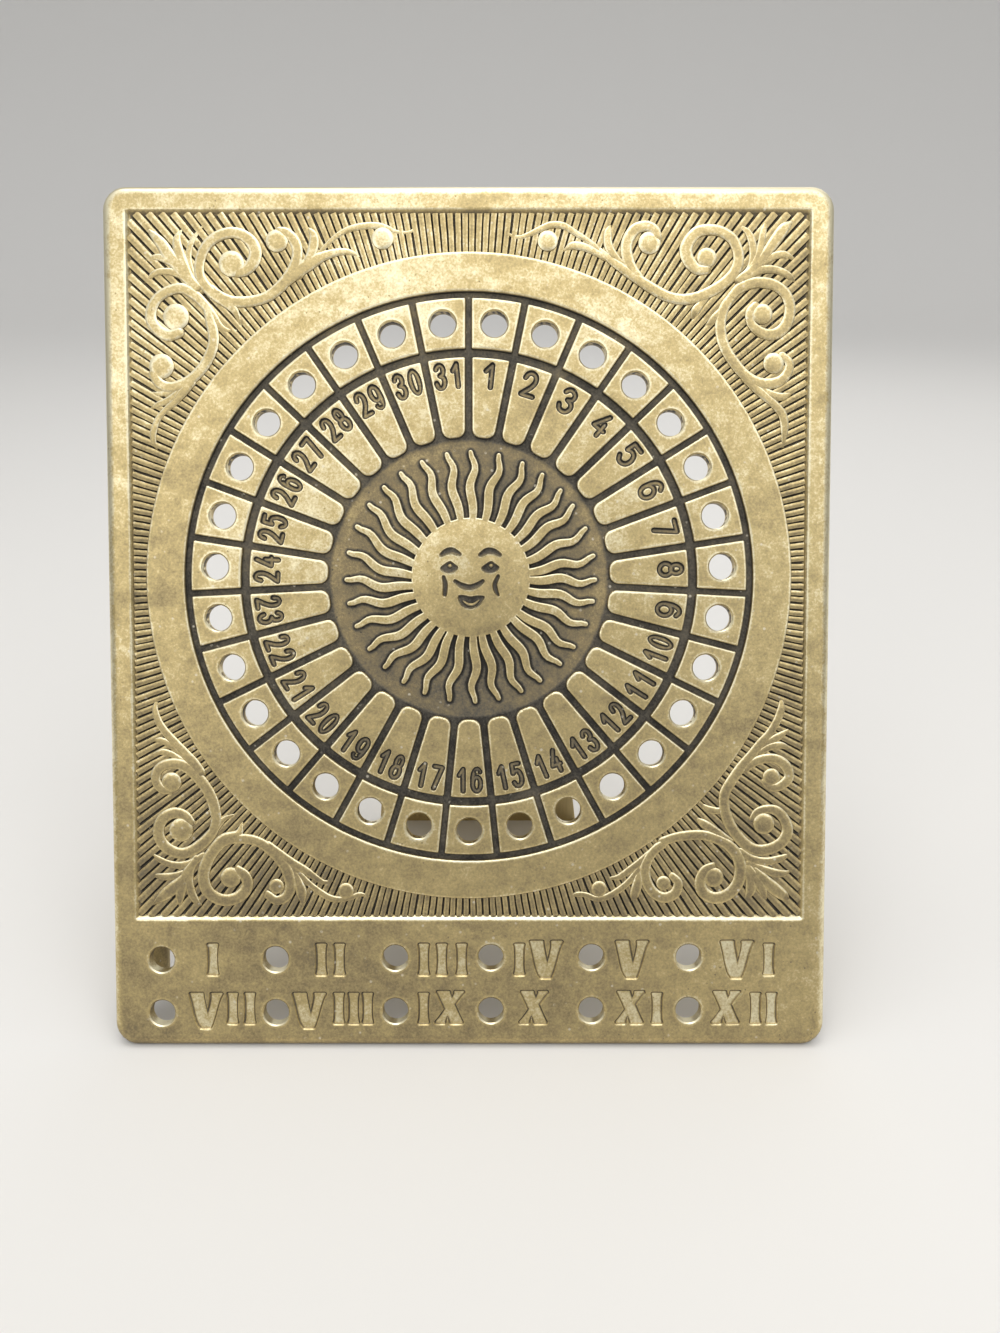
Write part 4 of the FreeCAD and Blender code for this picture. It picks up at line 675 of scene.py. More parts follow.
def lift(flat, heights, place):
    """Flat points with heights, as plate points, or as place turns them into plate points."""
    points = np.column_stack((flat, heights))
    return points if place is None else place(points)


def at_back(points):
    """Points of a form that stands on the plate's back."""
    return np.column_stack((points[:, 0], points[:, 1], -points[:, 2]))


def spans(befores, starts, ends, afters, step):
    """Rows about a step apart along a curve from each start to its end."""
    curve = []
    for a, b, c, d in zip(befores, starts, ends, afters):
        count = max(2, math.ceil(np.hypot(*(c - b)[:2]) / step))
        t = np.arange(count)[:, None] / count
        bend = (2 * a - 5 * b + 4 * c - d) * t ** 2 + (3 * b - a - 3 * c + d) * t ** 3
        curve.append((2 * b + (c - a) * t + bend) / 2)
    return np.vstack(curve)


def smooth(rows, step):
    """Rows of a curve through the given rows, about a step apart."""
    rows = np.array(rows, float)
    if len(rows) == 2:
        return rows
    ends = np.vstack((2 * rows[0] - rows[1], rows, 2 * rows[-1] - rows[-2]))
    return np.vstack((spans(ends, ends[1:], ends[2:], ends[3:], step), rows[-1:]))


def closed_curve(points, step):
    """A smooth closed outline through the points."""
    rows = np.array(points, float)
    return spans(np.roll(rows, 1, 0), rows, np.roll(rows, -1, 0), np.roll(rows, -2, 0), step)


def directions(rows):
    """The direction along a curve, and across it to the left, at each row."""
    along = np.gradient(rows[:, :2], axis=0)
    along /= np.hypot(along[:, 0], along[:, 1])[:, None]
    return along, np.column_stack((-along[:, 1], along[:, 0]))


def ribbon(rows, cap_steps=5):
    """The outline of a stroke with round ends, from rows of x, y and width."""
    along, across = directions(rows)
    half = rows[:, 2:3] / 2
    turns = np.arange(1, cap_steps) * (math.pi / cap_steps)
    caps = []
    for row, ahead, side, sign in ((-1, along[-1], across[-1], 1), (0, along[0], across[0], -1)):
        spokes = (np.outer(np.sin(turns), ahead) - np.outer(np.cos(turns), side)) * sign
        caps.append(rows[row, :2] + spokes * half[row])
    right = rows[:, :2] - across * half
    left = rows[:, :2] + across * half
    return np.vstack((right, caps[0], left[::-1], caps[1]))


def with_width(points, width):
    return [(x, y, width) for x, y in points]


def field_outline():
    """The sunk field's edge at the top of its sloped wall."""
    half = PLATE_WIDTH / 2 - RIM_WIDTH + FIELD_SLOPE * FIELD_SIDE_SHARE
    return box_outline(-half, BAND_HEIGHT - DIAL_HEIGHT, half,
                       PLATE_HEIGHT - RIM_WIDTH - DIAL_HEIGHT, FIELD_CORNER_RADIUS)


def day_angle(day):
    """The clockwise angle from the top of the middle of a day's cell."""
    return (day - 0.5) * DAY_STEP


def day_holes():
    return [turn_points(circle(0, HOLE_CIRCLE_RADIUS, HOLE_RADIUS, HOLE_STEPS), day_angle(day))
            for day in range(1, DAY_COUNT + 1)]


def month_holes():
    return [circle(x, y - drop, HOLE_RADIUS, HOLE_STEPS) for y in MONTH_HOLE_YS
            for x, drop in zip(MONTH_HOLE_XS, MONTH_HOLE_DROPS)]


def letter_bar(top_x, foot_x, widths, middle_y, half_height):
    """One bar of a letter: level ends and hollow sides that flare to its rounded corners."""
    shares = np.array(LETTER_STATION_SHARES)
    top_width, middle_width, foot_width = widths
    flare = np.abs(shares) ** LETTER_FLARE_POWER
    end_widths = np.where(shares > 0, top_width, foot_width)
    half = (middle_width + (end_widths - middle_width) * flare) / 2
    middles = (top_x + foot_x) / 2 + (top_x - foot_x) / 2 * shares
    ys = middle_y + shares * half_height
    corners = np.where(np.abs(shares) == 1, LETTER_CORNER_RADIUS, 0)
    right = np.column_stack((middles + half, ys, corners))
    left = np.column_stack((middles - half, ys, corners))
    return round_corners(np.vstack((right, left[::-1])))


def month_letters():
    """The outlines of the bars of all month numerals."""
    bars = []
    for text, heights in zip(MONTH_LETTERS, LETTER_HEIGHTS):
        words = text.split()
        for letter, place in zip(words[::2], words[1::2]):
            x = float(place)
            for top_x, foot_x, *widths in LETTER_BARS[letter]:
                bars.append([letter_bar(x + top_x, x + foot_x, widths, *heights[letter])])
    return bars


def edge_steps():
    """The rounded front edge of the plate, from its side to its face."""
    steps = []
    for i in range(FRONT_EDGE_STEPS + 1):
        turn = math.pi / 2 * i / FRONT_EDGE_STEPS
        steps.append((FRONT_EDGE_RADIUS * (1 - math.cos(turn)),
                      FRONT_EDGE_RADIUS * (math.sin(turn) - 1),
                      EDGE_WEAR * math.sin(turn * 2)))
    return steps


def file_rest_edge(piece):
    """Cut the plate's lower back edge level with the surface that it stands on."""
    work = bmesh.new()
    work.from_mesh(piece.data)
    everything = work.verts[:] + work.edges[:] + work.faces[:]
    cut = bmesh.ops.bisect_plane(work, geom=everything, plane_co=(0, 0, 0), plane_no=(0, 0, 1),
                                 clear_inner=True)
    edges = [item for item in cut["geom_cut"] if isinstance(item, bmesh.types.BMEdge)]
    bmesh.ops.edgenet_fill(work, edges=edges)
    bmesh.ops.recalc_face_normals(work, faces=work.faces)
    work.to_mesh(piece.data)
    work.free()


def make_plate(material):
    """The plate: rim, sunk field, month band with numerals, holes, and its flat back."""
    piece = Piece("plate_shell")
    low = -DIAL_HEIGHT
    outline = box_outline(-PLATE_WIDTH / 2, low, PLATE_WIDTH / 2, low + PLATE_HEIGHT,
                          PLATE_CORNER_RADIUS)
    days = day_holes()
    months = month_holes()
    region = [outline] + days + months
    well = circle(0, 0, PETAL_INNER_RADIUS, WELL_OUTLINE_STEPS)
    front = (Ramp([[outline]], edge_steps()), Ramp([[field_outline()]], FIELD_STEPS),
             Ramp([[well]], WELL_STEPS), Ramp(sun_shapes(), RAY_FOOT_SHADE_STEPS),
             Ramp(month_letters(), LETTER_STEPS),
             Ramp([[hole] for hole in months], HOLE_EDGE_STEPS, outside=True),
             Ramp([[hole] for hole in days], BORE_STEPS, outside=True))
    piece.add_surface([region], PLATE_THICKNESS, FACE_WEAR, front)
    back = Ramp([[outline]], ((0.0, BACK_EDGE_BEVEL, BACK_EDGE_WEAR), (BACK_EDGE_BEVEL, 0.0, 0.0)))
    piece.add_surface([region], 0, FACE_WEAR, (back,))
    piece.add_wall(outline, BACK_EDGE_BEVEL, PLATE_THICKNESS - FRONT_EDGE_RADIUS,
                   FACE_WEAR, FACE_WEAR)
    for holes, top in ((days, FLOOR), (months, PLATE_THICKNESS - HOLE_BEVEL)):
        for hole in holes:
            piece.add_wall(hole, 0, top, FACE_WEAR, WALL_WEAR)
    shell = piece.make(material)
    file_rest_edge(shell)
    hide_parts("face_plate")
    return shell


def make_ring(material):
    """The flat ring round the dial."""
    piece = Piece("dial_ring")
    region = [circle(0, 0, RING_OUTER_RADIUS, RING_STEPS),
              circle(0, 0, RING_INNER_RADIUS, RING_STEPS)[::-1]]
    piece.add_raised([region], FLOOR - SINK, RAISED_STEPS)
    return piece.make(material)


def sector(inner, outer, gap, inner_round, outer_round, arc_steps=4):
    """The outline of one day's share of a band, with parallel gaps between neighbours."""
    half = DAY_STEP / 2
    rows = []
    for radius, rounding, sign in ((inner, inner_round, -1), (outer, outer_round, 1)):
        end = half - math.asin(gap / 2 / radius)
        for i in range(arc_steps + 1):
            turn = end * sign * (1 - 2 * i / arc_steps)
            corner = rounding if i in (0, arc_steps) else 0
            rows.append((radius * math.sin(turn), radius * math.cos(turn), corner))
    return round_corners(rows)


def make_cells(material):
    """A cell for each day, with the hole that takes the marker peg."""
    piece = Piece("day_cells")
    low = FLOOR - SINK
    outline = sector(CELL_INNER_RADIUS, CELL_OUTER_RADIUS, CELL_GAP, CELL_CORNER_RADIUS,
                     CELL_CORNER_RADIUS)
    for day, bore in enumerate(day_holes(), start=1):
        turned = turn_points(outline, day_angle(day))
        region = [turned, bore]
        piece.add_surface([region], low, 0, (Ramp([[turned]], RAISED_STEPS),
                                             Ramp([[bore]], HOLE_EDGE_STEPS, outside=True)))
        piece.add_surface([region], low, 0)
        piece.add_wall(bore, low, PLATE_THICKNESS - HOLE_BEVEL, WALL_WEAR, WALL_WEAR)
    return piece.make(material)


def digit_shapes(text, upside_down):
    """The strokes of a day's number, round the middle of its place, as shapes."""
    half_width = DIGIT_HALF_WIDTHS[len(text)]
    shapes = []
    for index, digit in enumerate(text):
        shift = (index - (len(text) - 1) / 2) * DIGIT_PITCH
        for stroke in DIGIT_STROKES[digit]:
            if isinstance(stroke[0], tuple):
                points = [(x * half_width, y * DIGIT_HALF_HEIGHT) for x, y in stroke]
                loops = [ribbon(smooth(with_width(points, DIGIT_STROKE), CURVE_STEP))]
            else:
                x, y, wide, high = stroke
                middle = (x * half_width, y * DIGIT_HALF_HEIGHT)
                wide = wide * half_width
                high = high * DIGIT_HALF_HEIGHT
                edge = DIGIT_STROKE / 2
                outer_steps, inner_steps = DIGIT_RING_STEPS
                loops = [ellipse(*middle, wide + edge, high + edge, outer_steps),
                         ellipse(*middle, wide - edge, high - edge, inner_steps)[::-1]]
            placed = []
            for loop in loops:
                moved = loop + (shift, 0)
                placed.append((-moved if upside_down else moved) + (0, DIGIT_MIDDLE_RADIUS))
            shapes.append(placed)
    return shapes


def make_petals(material):
    """A petal for each day, with the day's number cut into it."""
    piece = Piece("day_petals")
    outline = sector(PETAL_INNER_RADIUS, PETAL_OUTER_RADIUS, PETAL_GAP,
                     PETAL_INNER_CORNER_RADIUS, PETAL_OUTER_CORNER_RADIUS)
    for day in range(1, DAY_COUNT + 1):
        angle = day_angle(day)
        upside_down = FIRST_INWARD_DAY <= day <= LAST_INWARD_DAY
        digits = [[turn_points(loop, angle) for loop in shape]
                  for shape in digit_shapes(str(day), upside_down)]
        piece.add_raised([[turn_points(outline, angle)]], FLOOR - SINK, RAISED_STEPS,
                         (Ramp(digits, DIGIT_STEPS),))
    return piece.make(material)


def ray_outline(root_angle, tip_angle):
    """One wavy ray of the sun, from inside the disc to its blunt tip."""
    share = np.arange(RAY_STATIONS + 1) / RAY_STATIONS
    root = SUN_RADIUS - RAY_OVERLAP
    radius = root + (RAY_TIP_RADIUS - RAY_TIP_WIDTH / 2 - root) * share
    angle = np.radians(root_angle + (tip_angle - root_angle) * share)
    sway = np.cos(RAY_HALF_WAVES * math.pi * share ** RAY_WAVE_PACE) - 1 + 2 * share
    xs = radius * np.sin(angle) + RAY_WAVE * sway * np.cos(angle) + SUN_CENTRE[0]
    ys = radius * np.cos(angle) - RAY_WAVE * sway * np.sin(angle) + SUN_CENTRE[1]
    swell = RAY_MIDDLE_WIDTH - (RAY_BASE_WIDTH + RAY_TIP_WIDTH) / 2
    widths = RAY_BASE_WIDTH + (RAY_TIP_WIDTH - RAY_BASE_WIDTH) * share
    widths += swell * np.sin(math.pi * share ** RAY_SWELL_PACE)
    return ribbon(np.column_stack((xs, ys, widths)))


def face_shapes():
    """What is cut into the sun's disc: brows, eyes, cheeks, nose and mouth."""
    shapes = [[ribbon(smooth(stroke, CURVE_STEP))] for stroke in FACE_STROKES]
    for centre in EYE_CENTRES:
        shapes.append([closed_curve(EYE_OUTLINE, CURVE_STEP) + centre])
    shapes.append([closed_curve(MOUTH_OUTLINE, CURVE_STEP)])
    return shapes


def sun_shapes():
    """The outlines of the disc and of its rays."""
    disc = circle(*SUN_CENTRE, SUN_RADIUS, SUN_STEPS)
    return [[disc]] + [[ray_outline(*angles)] for angles in RAY_ANGLES]


def make_sun(material):
    """The sun's disc with its face, and its rays."""
    piece = Piece("sun")
    shapes = sun_shapes()
    raised = [[circle(*(np.array(centre) + PUPIL_SHIFT), PUPIL_RADIUS, PUPIL_STEPS)]
              for centre in EYE_CENTRES]
    raised.append([ribbon(smooth(LIP_STROKE, CURVE_STEP))])
    piece.add_raised(shapes, FLOOR - SINK, RAY_STEPS,
                     (Ramp(shapes[:1], DOME_STEPS), Ramp(face_shapes(), FACE_STEPS),
                      Ramp(raised, FACE_RAISED_STEPS)))
    return piece.make(material)


def round_tip(row, ahead):
    """Rows past the end of a stroke, where it narrows to a rounded tip."""
    places = row[:2] + np.outer(np.sin(TIP_TURNS), ahead) * (row[2] / 2)
    return np.column_stack((places, row[2] * np.cos(TIP_TURNS)))


def add_stroke(piece, stroke):
    """One raised stroke of scrollwork, rounded on top and lower where it is thin."""
    rows = smooth(stroke, SCROLL_STEP) * (1, 1, STROKE_SPREAD)
    along, across = directions(rows)
    rows = np.vstack((round_tip(rows[0], -along[0])[::-1], rows, round_tip(rows[-1], along[-1])))
    tips = len(TIP_TURNS)
    across = np.vstack([across[:1]] * tips + [across] + [across[-1:]] * tips)
    points = []
    wears = []
    for row, side in zip(rows, across):
        tall = SINK + SCROLL_HEIGHT * min(1.0, math.sqrt(row[2] / SCROLL_FULL_WIDTH))
        for width_share, height_share, wear in SCROLL_SECTION:
            x, y = row[:2] + side * (row[2] / 2 * width_share)
            points.append((x, y, FLOOR - SINK + tall * height_share))
            wears.append(wear)
    piece.add_run(points, wears, len(SCROLL_SECTION))


def add_eye(piece, x, y, radius):
    """The low dome at the heart of a curl."""
    points = []
    wears = []
    for radius_share, height_share, wear in EYE_SECTION:
        for px, py in circle(x, y, radius * EYE_SPREAD * radius_share, EYE_STEPS):
            points.append((px, py, FLOOR - SINK + (SINK + SCROLL_HEIGHT) * height_share))
            wears.append(wear)
    piece.add_run(points, wears, EYE_STEPS)


def make_scrollwork(material):
    """Curling stems and leaves in the field's four corners."""
    piece = Piece("scrollwork")
    for stroke in SCROLL_STROKES:
        add_stroke(piece, stroke)
    for x, y, radius in SCROLL_EYES:
        add_eye(piece, x, y, radius)
    return piece.make(material)


def make_ribs(material):
    """Fine ribs that run from the ring to the field's edge, all pointing at the dial's centre."""
    piece = Piece("field_ribs")
    draw = random.Random(SEED)
    left, low = field_outline().min(axis=0) + FIELD_SLOPE * RIB_END_SHARE
    right, high = field_outline().max(axis=0) - FIELD_SLOPE * RIB_END_SHARE
    pitch = 2 * math.pi / RIB_COUNT
    for i in range(RIB_COUNT):
        angle = (i + 0.5 + draw.uniform(-RIB_ANGLE_SPREAD, RIB_ANGLE_SPREAD)) * pitch
        sine = math.sin(angle)
        cosine = math.cos(angle)
        end = min((right if sine > 0 else left) / sine if sine else math.inf,
                  (high if cosine > 0 else low) / cosine if cosine else math.inf)
        start = RING_OUTER_RADIUS - RIB_OVERLAP
        tall = RIB_HEIGHT * draw.uniform(*RIB_HEIGHT_SHARES)
        points = []
        wears = []
        for k in range(RIB_STATIONS + 1):
            radius = start + (end - start) * k / RIB_STATIONS
            sway = draw.uniform(-RIB_SWAY_SPREAD, RIB_SWAY_SPREAD)
            for share, height_share, wear in RIB_SECTION:
                turn = angle + (share + sway) * pitch
                points.append((radius * math.sin(turn), radius * math.cos(turn),
                               FLOOR - SINK + (tall + SINK) * height_share))
                wears.append(wear)
        piece.add_run(points, wears, len(RIB_SECTION))
    return piece.make(material)


def make_pad(material):
    """The cast pad on the back that carries the hinge."""
    piece = Piece("hinge_pad")
    base = HINGE_HEIGHT - DIAL_HEIGHT
    outline = [box_outline(-PAD_HALF_WIDTH, base + PAD_LOW, PAD_HALF_WIDTH, base + PAD_HIGH,
                           PAD_CORNER_RADIUS)]
    piece.add_surface([outline], 0, FACE_WEAR, (Ramp([outline], PAD_STEPS),), at_back)
    piece.add_surface([outline], 0, FACE_WEAR, (), at_back)
    return piece.make(material)


def make_socket(material, name, sign):
    """A peg socket: an upright boss with a blind bore, webbed to the plate's back."""
    piece = Piece(name)
    middle = SOCKET_X * sign
    base = SOCKET_BASE - DIAL_HEIGHT

    def place(points):
        return np.column_stack((points[:, 0], points[:, 2] + base, -points[:, 1]))

    turns = np.radians(np.arange(0, 180 + SOCKET_ARC_DEGREES, SOCKET_ARC_DEGREES))
    boss = np.column_stack((middle + SOCKET_RADIUS * np.cos(turns),
                            SOCKET_STAND_OFF + SOCKET_RADIUS * np.sin(turns)))
    inner = middle - SOCKET_RADIUS * sign / 2
    outer = middle + SOCKET_RADIUS * sign
    feet = [(min(inner, outer), 0), (max(inner, outer), 0)]
    waist = [(middle - SOCKET_RADIUS * sign, SOCKET_STAND_OFF - SOCKET_RADIUS / 2)]
    outline = np.vstack((boss, waist, feet) if sign > 0 else (boss, feet, waist))
    bore = circle(middle, SOCKET_STAND_OFF, HOLE_RADIUS, HOLE_STEPS)
    low_end, high_end = (Ramp([[outline]], ((0.0, rise, SOCKET_EDGE_WEAR), (SOCKET_EDGE, 0.0, 0.0)))
                         for rise in (SOCKET_EDGE, -SOCKET_EDGE))
    mouth = Ramp([[bore]], HOLE_EDGE_STEPS[:1] + ((HOLE_BEVEL, 0.0, 0.0),), outside=True)
    piece.add_surface([[outline]], 0, FACE_WEAR, (low_end,), place)
    piece.add_surface([[outline, bore]], SOCKET_LENGTH, FACE_WEAR, (high_end, mouth), place)
    piece.add_wall(outline, SOCKET_EDGE, SOCKET_LENGTH - SOCKET_EDGE, FACE_WEAR, FACE_WEAR, place)
    bottom = SOCKET_LENGTH - SOCKET_BORE_DEPTH
    piece.add_wall(bore, bottom, SOCKET_LENGTH - HOLE_BEVEL, SOCKET_BOTTOM_WEAR, FACE_WEAR, place)
    piece.add_surface([[bore]], bottom, SOCKET_BOTTOM_WEAR, (), place)
    return piece.make(material)


class Shader:
    """Builds one material's nodes."""

    def __init__(self, name, metallic=1.0):
        self.material = bpy.data.materials.new(name)
        self.material.use_nodes = True
        self.tree = self.material.node_tree
        self.tree.nodes.clear()
        self.output = self.add("ShaderNodeOutputMaterial")
        self.surface = self.add("ShaderNodeBsdfPrincipled", Metallic=metallic)
        self.link(self.surface, "BSDF", self.output, "Surface")
        self.place = self.add("ShaderNodeTexCoord")

    def add(self, kind, settings=None, **values):
        node = self.tree.nodes.new(kind)
        for key, value in (settings or {}).items():
            setattr(node, key, value)
        for key, value in values.items():
            node.inputs[key.replace("_", " ")].default_value = value
        return node

    def link(self, source, output, target, socket):
        self.tree.links.new(source.outputs[output], target.inputs[socket])

    def noise(self, scale, detail=4.0, roughness=0.55, stretch=None):
        """Noise over the object, its scale in features a metre, stretched by three factors."""
        node = self.add("ShaderNodeTexNoise", Scale=scale, Detail=detail, Roughness=roughness)
        if stretch is None:
            self.link(self.place, "Object", node, "Vector")
            return node
        mapping = self.add("ShaderNodeMapping", Scale=stretch)
        self.link(self.place, "Object", mapping, "Vector")
        self.link(mapping, "Vector", node, "Vector")
        return node

    def spots(self, scale, size):
        """1 in small round spots scattered over the object, 0 between them."""
        node = self.add("ShaderNodeTexVoronoi", Scale=scale, Randomness=1.0)
        self.link(self.place, "Object", node, "Vector")
        return self.spread(node, "Distance", size, size * SPOT_CORE_SHARE, 0.0, 1.0)

    def spread(self, source, output, low, high, to_low=0.0, to_high=1.0):
        """Map a value between two limits onto a new range, and clamp it there."""
        node = self.add("ShaderNodeMapRange", From_Min=low, From_Max=high, To_Min=to_low,
                        To_Max=to_high)
        self.link(source, output, node, "Value")
        return node

    def facing(self, direction, limit, amount):
        """A gain where the surface faces along the direction, and a loss where it faces away."""
        node = self.add("ShaderNodeVectorMath", {"operation": "DOT_PRODUCT"})
        self.tree.links.new(self.place.outputs["Normal"], node.inputs[0])
        node.inputs[1].default_value = direction
        return self.spread(node, "Value", -limit, limit, -amount, amount)

    def sum(self, first, second, first_output="Result", second_output="Result",
            operation="ADD"):
        node = self.add("ShaderNodeMath", {"operation": operation})
        self.tree.links.new(first.outputs[first_output], node.inputs[0])
        self.tree.links.new(second.outputs[second_output], node.inputs[1])
        return node

    def ramp(self, source, output, stops):
        node = self.add("ShaderNodeValToRGB")
        elements = node.color_ramp.elements
        elements[0].position, elements[0].color = stops[0][0], (*stops[0][1], 1)
        elements[1].position, elements[1].color = stops[-1][0], (*stops[-1][1], 1)
        for position, colour in stops[1:-1]:
            elements.new(position).color = (*colour, 1)
        self.link(source, output, node, "Fac")
        return node

    def mix(self, factor, factor_output, first, second):
        """Mix two colours: each is a node with its output's name, or a plain colour."""
        node = self.add("ShaderNodeMix", {"data_type": "RGBA"})
        self.tree.links.new(factor.outputs[factor_output], node.inputs[0])
        for item, socket in ((first, node.inputs[6]), (second, node.inputs[7])):
            if isinstance(item[0], (int, float)):
                socket.default_value = (*item, 1)
            else:
                self.tree.links.new(item[0].outputs[item[1]], socket)
        return node

    def bump(self, source, output, distance, strength=1.0, before=None):
        node = self.add("ShaderNodeBump", Strength=strength, Distance=distance)
        self.link(source, output, node, "Height")
        if before is not None:
            self.link(before, "Normal", node, "Normal")
        return node


# The colour ramp from dark patina to rubbed brass, which also gives the painted shade folded into the tone
PATINA_AND_SHADE_STOPS = ((0.0, (0.030, 0.027, 0.022)), (0.22, (0.130, 0.115, 0.088)),
                (0.5, (0.300, 0.240, 0.135)), (0.78, (0.590, 0.470, 0.230)),
                (1.0, (0.930, 0.850, 0.590)))
DUST = (0.80, 0.75, 0.62)
PLATE_UP = (0, math.sin(LEAN), math.cos(LEAN))


def cast_brass():
    """Antique cast brass: dark patina in the recesses, rubbed bright on the edges, with painted shade:
    darker at the feet of walls, where a surface faces down the plate and towards the plate's bottom,
    lighter where it faces up.
    """
    shader = Shader("cast_brass")
    wear = shader.add("ShaderNodeAttribute", {"attribute_name": "wear"})
    cloud = shader.noise(30, 4.0, 0.6)
    wipes = shader.noise(95, 5.0, 0.65, (1.0, 2.2, 2.2))
    mottle = shader.noise(420, 6.0, 0.65)
    grain = shader.noise(2600, 5.0, 0.7)
    # Painted light and shade: lighter where a surface faces up the plate, towards the light from above,
    # darker where it faces down
    tone = shader.facing(PLATE_UP, 0.8, 0.36)
    tone = shader.sum(tone, wear, second_output="Fac")
    # Painted shade: darker towards the bottom of the plate and a little lighter at its top, as the light
    # from above falls on it
    split = shader.add("ShaderNodeSeparateXYZ")
    shader.link(shader.place, "Object", split, "Vector")
    painted_low_shade = shader.spread(split, "Z", 0.0, 0.09, -0.16, 0.03)
    tone = shader.sum(painted_low_shade, tone, second_output="Value")
    for source, low, amount in ((cloud, 0.32, 0.09), (wipes, 0.32, 0.06), (mottle, 0.3, 0.1),
                                (grain, 0.3, 0.12)):
        change = shader.spread(source, "Fac", low, 1 - low, -amount, amount)
        tone = shader.sum(change, tone, second_output="Value")
    pits = shader.sum(shader.spots(620, 0.1), shader.spread(cloud, "Fac", 0.42, 0.6, 0.0, 0.3),
                      operation="MULTIPLY")
    tone = shader.sum(tone, pits, "Value", "Value", "SUBTRACT")
    colour = shader.ramp(tone, "Value", PATINA_AND_SHADE_STOPS)
    rare = shader.spread(mottle, "Fac", 0.47, 0.58, 0.0, 0.6)
    dusty = shader.sum(shader.spots(560, 0.15), rare, operation="MULTIPLY")
    colour = shader.mix(dusty, "Value", (colour, "Color"), DUST)
    shader.link(colour, "Result", shader.surface, "Base Color")
    rough = shader.spread(tone, "Value", 0.0, 1.0, 0.62, 0.34)
    shader.link(rough, "Result", shader.surface, "Roughness")
    metal = shader.spread(tone, "Value", 0.05, 0.5, 0.35, 1.0)
    shader.link(metal, "Result", shader.surface, "Metallic")
    sand = shader.sum(shader.spread(wear, "Fac", 0.35, 0.75, 1.0, 0.15), grain,
                      second_output="Fac", operation="MULTIPLY")
    coarse = shader.bump(mottle, "Fac", 0.00012, 0.5)
    fine = shader.bump(sand, "Value", 0.00016, 0.8, coarse)
    shader.link(fine, "Normal", shader.surface, "Normal")
    return shader.material


def worked_brass(name, base, dark, stretch, rough_low, rough_high):
    """Brass sheet or bar: the marks of its making, drawn out along one way, and light wear."""
    shader = Shader(name)
    lines = shader.noise(3600, 3.0, 0.6, stretch)
    cloud = shader.noise(70, 5.0, 0.62)
    grain = shader.noise(3000, 4.0, 0.6)
    streak = shader.spread(lines, "Fac", 0.3, 0.7, 0.0, 0.28)
    patch = shader.spread(cloud, "Fac", 0.35, 0.7, 0.0, 0.72)
    tone = shader.sum(streak, patch)
    colour = shader.mix(tone, "Value", base, dark)
    shader.link(colour, "Result", shader.surface, "Base Color")
    rough = shader.spread(tone, "Value", 0.0, 1.0, rough_low, rough_high)
    shader.link(rough, "Result", shader.surface, "Roughness")
    rounded = shader.add("ShaderNodeBevel", {"samples": 6}, Radius=0.00015)
    first = shader.bump(lines, "Fac", 0.00003, 0.5, rounded)
    second = shader.bump(grain, "Fac", 0.00002, 0.5, first)
    shader.link(second, "Normal", shader.surface, "Normal")
    return shader.material


def dress_cad_nodes():
    """Materials for the pieces whose shape comes whole from the frame."""
    sheet = worked_brass("sheet_brass", (0.66, 0.53, 0.27), (0.43, 0.34, 0.18), (1, 0.03, 0.03),
                         0.26, 0.4)
    turned = worked_brass("turned_brass", (0.72, 0.58, 0.31), (0.48, 0.38, 0.21), (0.05, 1, 1),
                          0.22, 0.36)
    screw = worked_brass("screw_brass", (0.62, 0.50, 0.28), (0.34, 0.27, 0.16), (1, 0.1, 1),
                         0.28, 0.45)
    by_slot = {"sheet_brass": sheet, "turned_brass": turned, "screw_brass": screw}
    for part in frame["record"]["subparts"]:
        material = by_slot.get(part["material_slot"])
        if material is None:
            continue
        mesh = frame["nodes"][part["node"]].data
        mesh.materials.clear()
        mesh.materials.append(material)


def plain_material(name, colour, roughness):
    shader = Shader(name, metallic=0.0)
    shader.surface.inputs["Base Color"].default_value = (*colour, 1)
    shader.surface.inputs["Roughness"].default_value = roughness
    return shader.material


def make_stage():
    """A pale floor that sweeps up into a backdrop."""
    half_width = 2.5
    near = -2.0
    far = 1.0
    bend = 0.6
    tall = 2.5
    bend_steps = 12
    rows = [(near, 0.0)]
    for i in range(bend_steps + 1):
        turn = math.pi / 2 * i / bend_steps
        rows.append((far + bend * math.sin(turn), bend * (1 - math.cos(turn))))
    rows.append((far + bend, tall))
    points = [(x, y, z) for y, z in rows for x in (-half_width, half_width)]
    faces = [(i, i + 1, i + 3, i + 2) for i in range(0, len(points) - 2, 2)]
    mesh = bpy.data.meshes.new("floor")
    mesh.from_pydata(points, [], faces)
    mesh.materials.append(plain_material("pale_floor", (0.78, 0.77, 0.75), 0.75))
    mesh.shade_smooth()
    floor = bpy.data.objects.new("floor", mesh)
    bpy.context.scene.collection.objects.link(floor)


def aim(thing, target):
    thing.rotation_euler = (Vector(target) - thing.location).to_track_quat("-Z", "Y").to_euler()


def add_lamp(name, place, target, size, power, colour):
    data = bpy.data.lights.new(name, "AREA")
    data.shape = "RECTANGLE"
    data.size, data.size_y = size
    data.energy = power
    data.color = colour
    lamp = bpy.data.objects.new(name, data)
    lamp.location = place
    bpy.context.scene.collection.objects.link(lamp)
    aim(lamp, target)


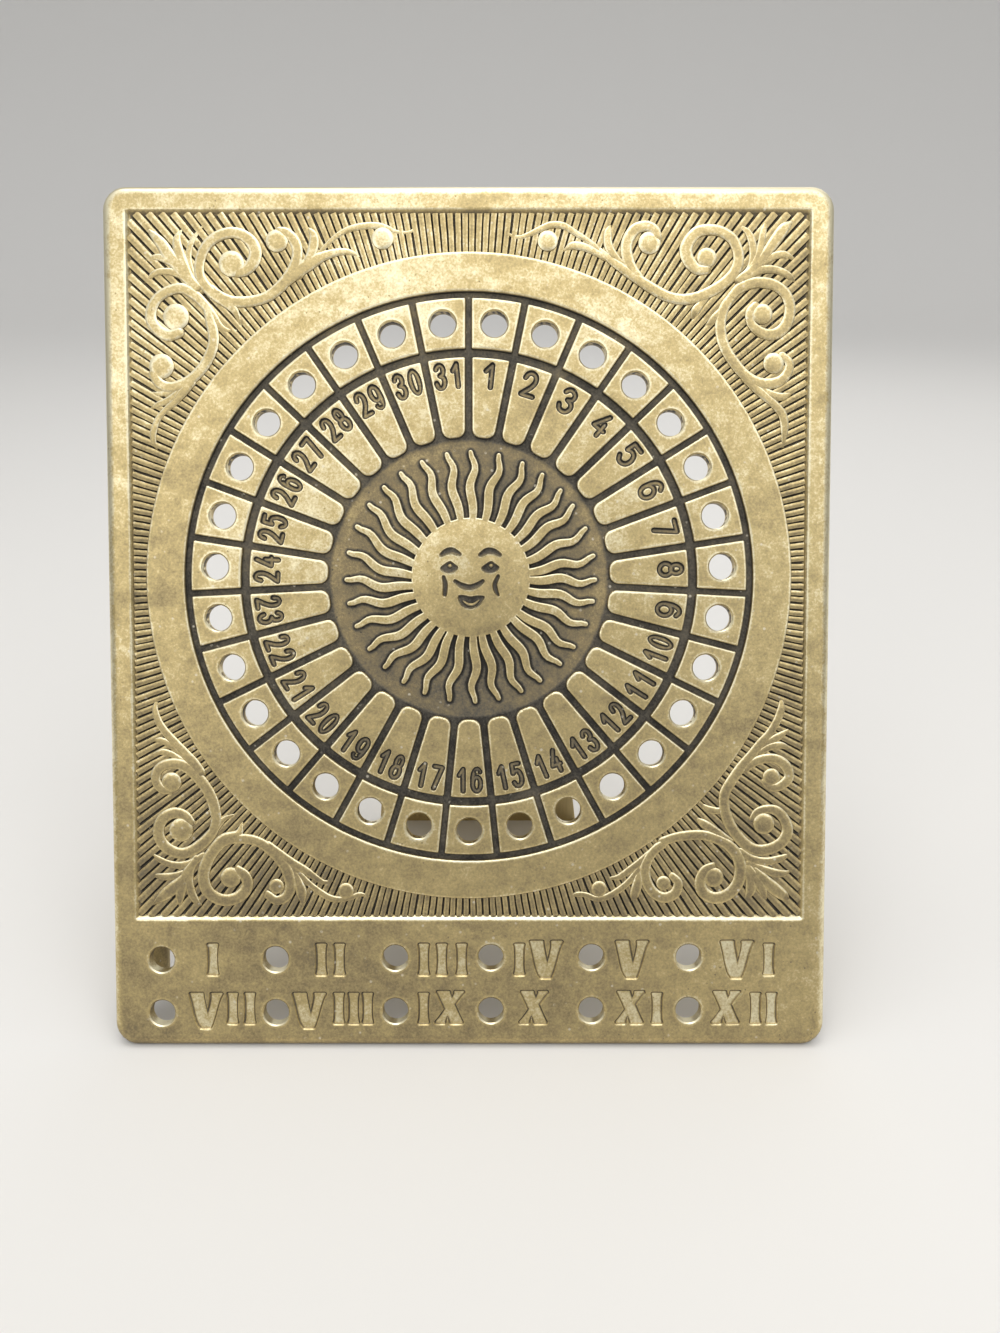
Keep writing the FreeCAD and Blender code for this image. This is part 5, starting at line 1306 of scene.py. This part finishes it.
def make_lights():
    middle = (0, 0.02, 0.06)
    add_lamp("key", (0.1, -0.3, 0.6), middle, (0.6, 0.4), 0.9, (1.0, 0.97, 0.92))
    add_lamp("top", (-0.05, 0.1, 0.7), middle, (0.4, 0.3), 1.0, (1.0, 0.98, 0.95))
    add_lamp("left", (-0.32, -0.55, 0.36), middle, (0.22, 0.4), 0.55, (1.0, 0.98, 0.94))
    add_lamp("right", (0.34, -0.55, 0.36), middle, (0.22, 0.4), 0.4, (0.97, 0.98, 1.0))
    add_lamp("back", (0.2, 0.6, 0.5), middle, (0.6, 0.4), 0.6, (1.0, 0.98, 0.95))


def make_world():
    """Even light from all round, dimmer towards the horizon than from above."""
    world = bpy.data.worlds.new("studio")
    world.use_nodes = True
    tree = world.node_tree
    sky = tree.nodes["Background"]
    sky.inputs["Color"].default_value = (1, 1, 1, 1)
    place = tree.nodes.new("ShaderNodeTexCoord")
    split = tree.nodes.new("ShaderNodeSeparateXYZ")
    spread = tree.nodes.new("ShaderNodeMapRange")
    for name, value in (("From Min", -0.1), ("From Max", 0.9), ("To Min", 0.08), ("To Max", 0.95)):
        spread.inputs[name].default_value = value
    tree.links.new(place.outputs["Generated"], split.inputs["Vector"])
    tree.links.new(split.outputs["Z"], spread.inputs["Value"])
    tree.links.new(spread.outputs["Result"], sky.inputs["Strength"])
    bpy.context.scene.world = world


# The camera, solved from the photograph: its place before the plate, its tilt and its lens
CAMERA_PLACE = (4.78, -6.15, 162.1)
CAMERA_TILT = math.radians(24.14)
CAMERA_FOCAL_PIXELS = 1040
PHOTO_HEIGHT_PIXELS = 1333
SENSOR_SIZE = 36.0


def make_camera():
    data = bpy.data.cameras.new("camera")
    data.sensor_fit = "VERTICAL"
    data.sensor_height = SENSOR_SIZE
    data.lens = SENSOR_SIZE * CAMERA_FOCAL_PIXELS / PHOTO_HEIGHT_PIXELS
    data.clip_start = 0.01
    camera = bpy.data.objects.new("camera", data)
    camera.location = PLATE @ Vector(CAMERA_PLACE)
    camera.rotation_euler = (math.pi / 2 - CAMERA_TILT, 0, 0)
    bpy.context.scene.collection.objects.link(camera)
    bpy.context.scene.camera = camera


bpy.context.scene.view_settings.view_transform = "Standard"
make_camera()
make_stage()
make_lights()
make_world()
brass = cast_brass()
make_plate(brass)
make_ring(brass)
make_cells(brass)
make_petals(brass)
make_sun(brass)
make_scrollwork(brass)
make_ribs(brass)
make_pad(brass)
make_socket(brass, "left_socket", -1)
make_socket(brass, "right_socket", 1)
dress_cad_nodes()
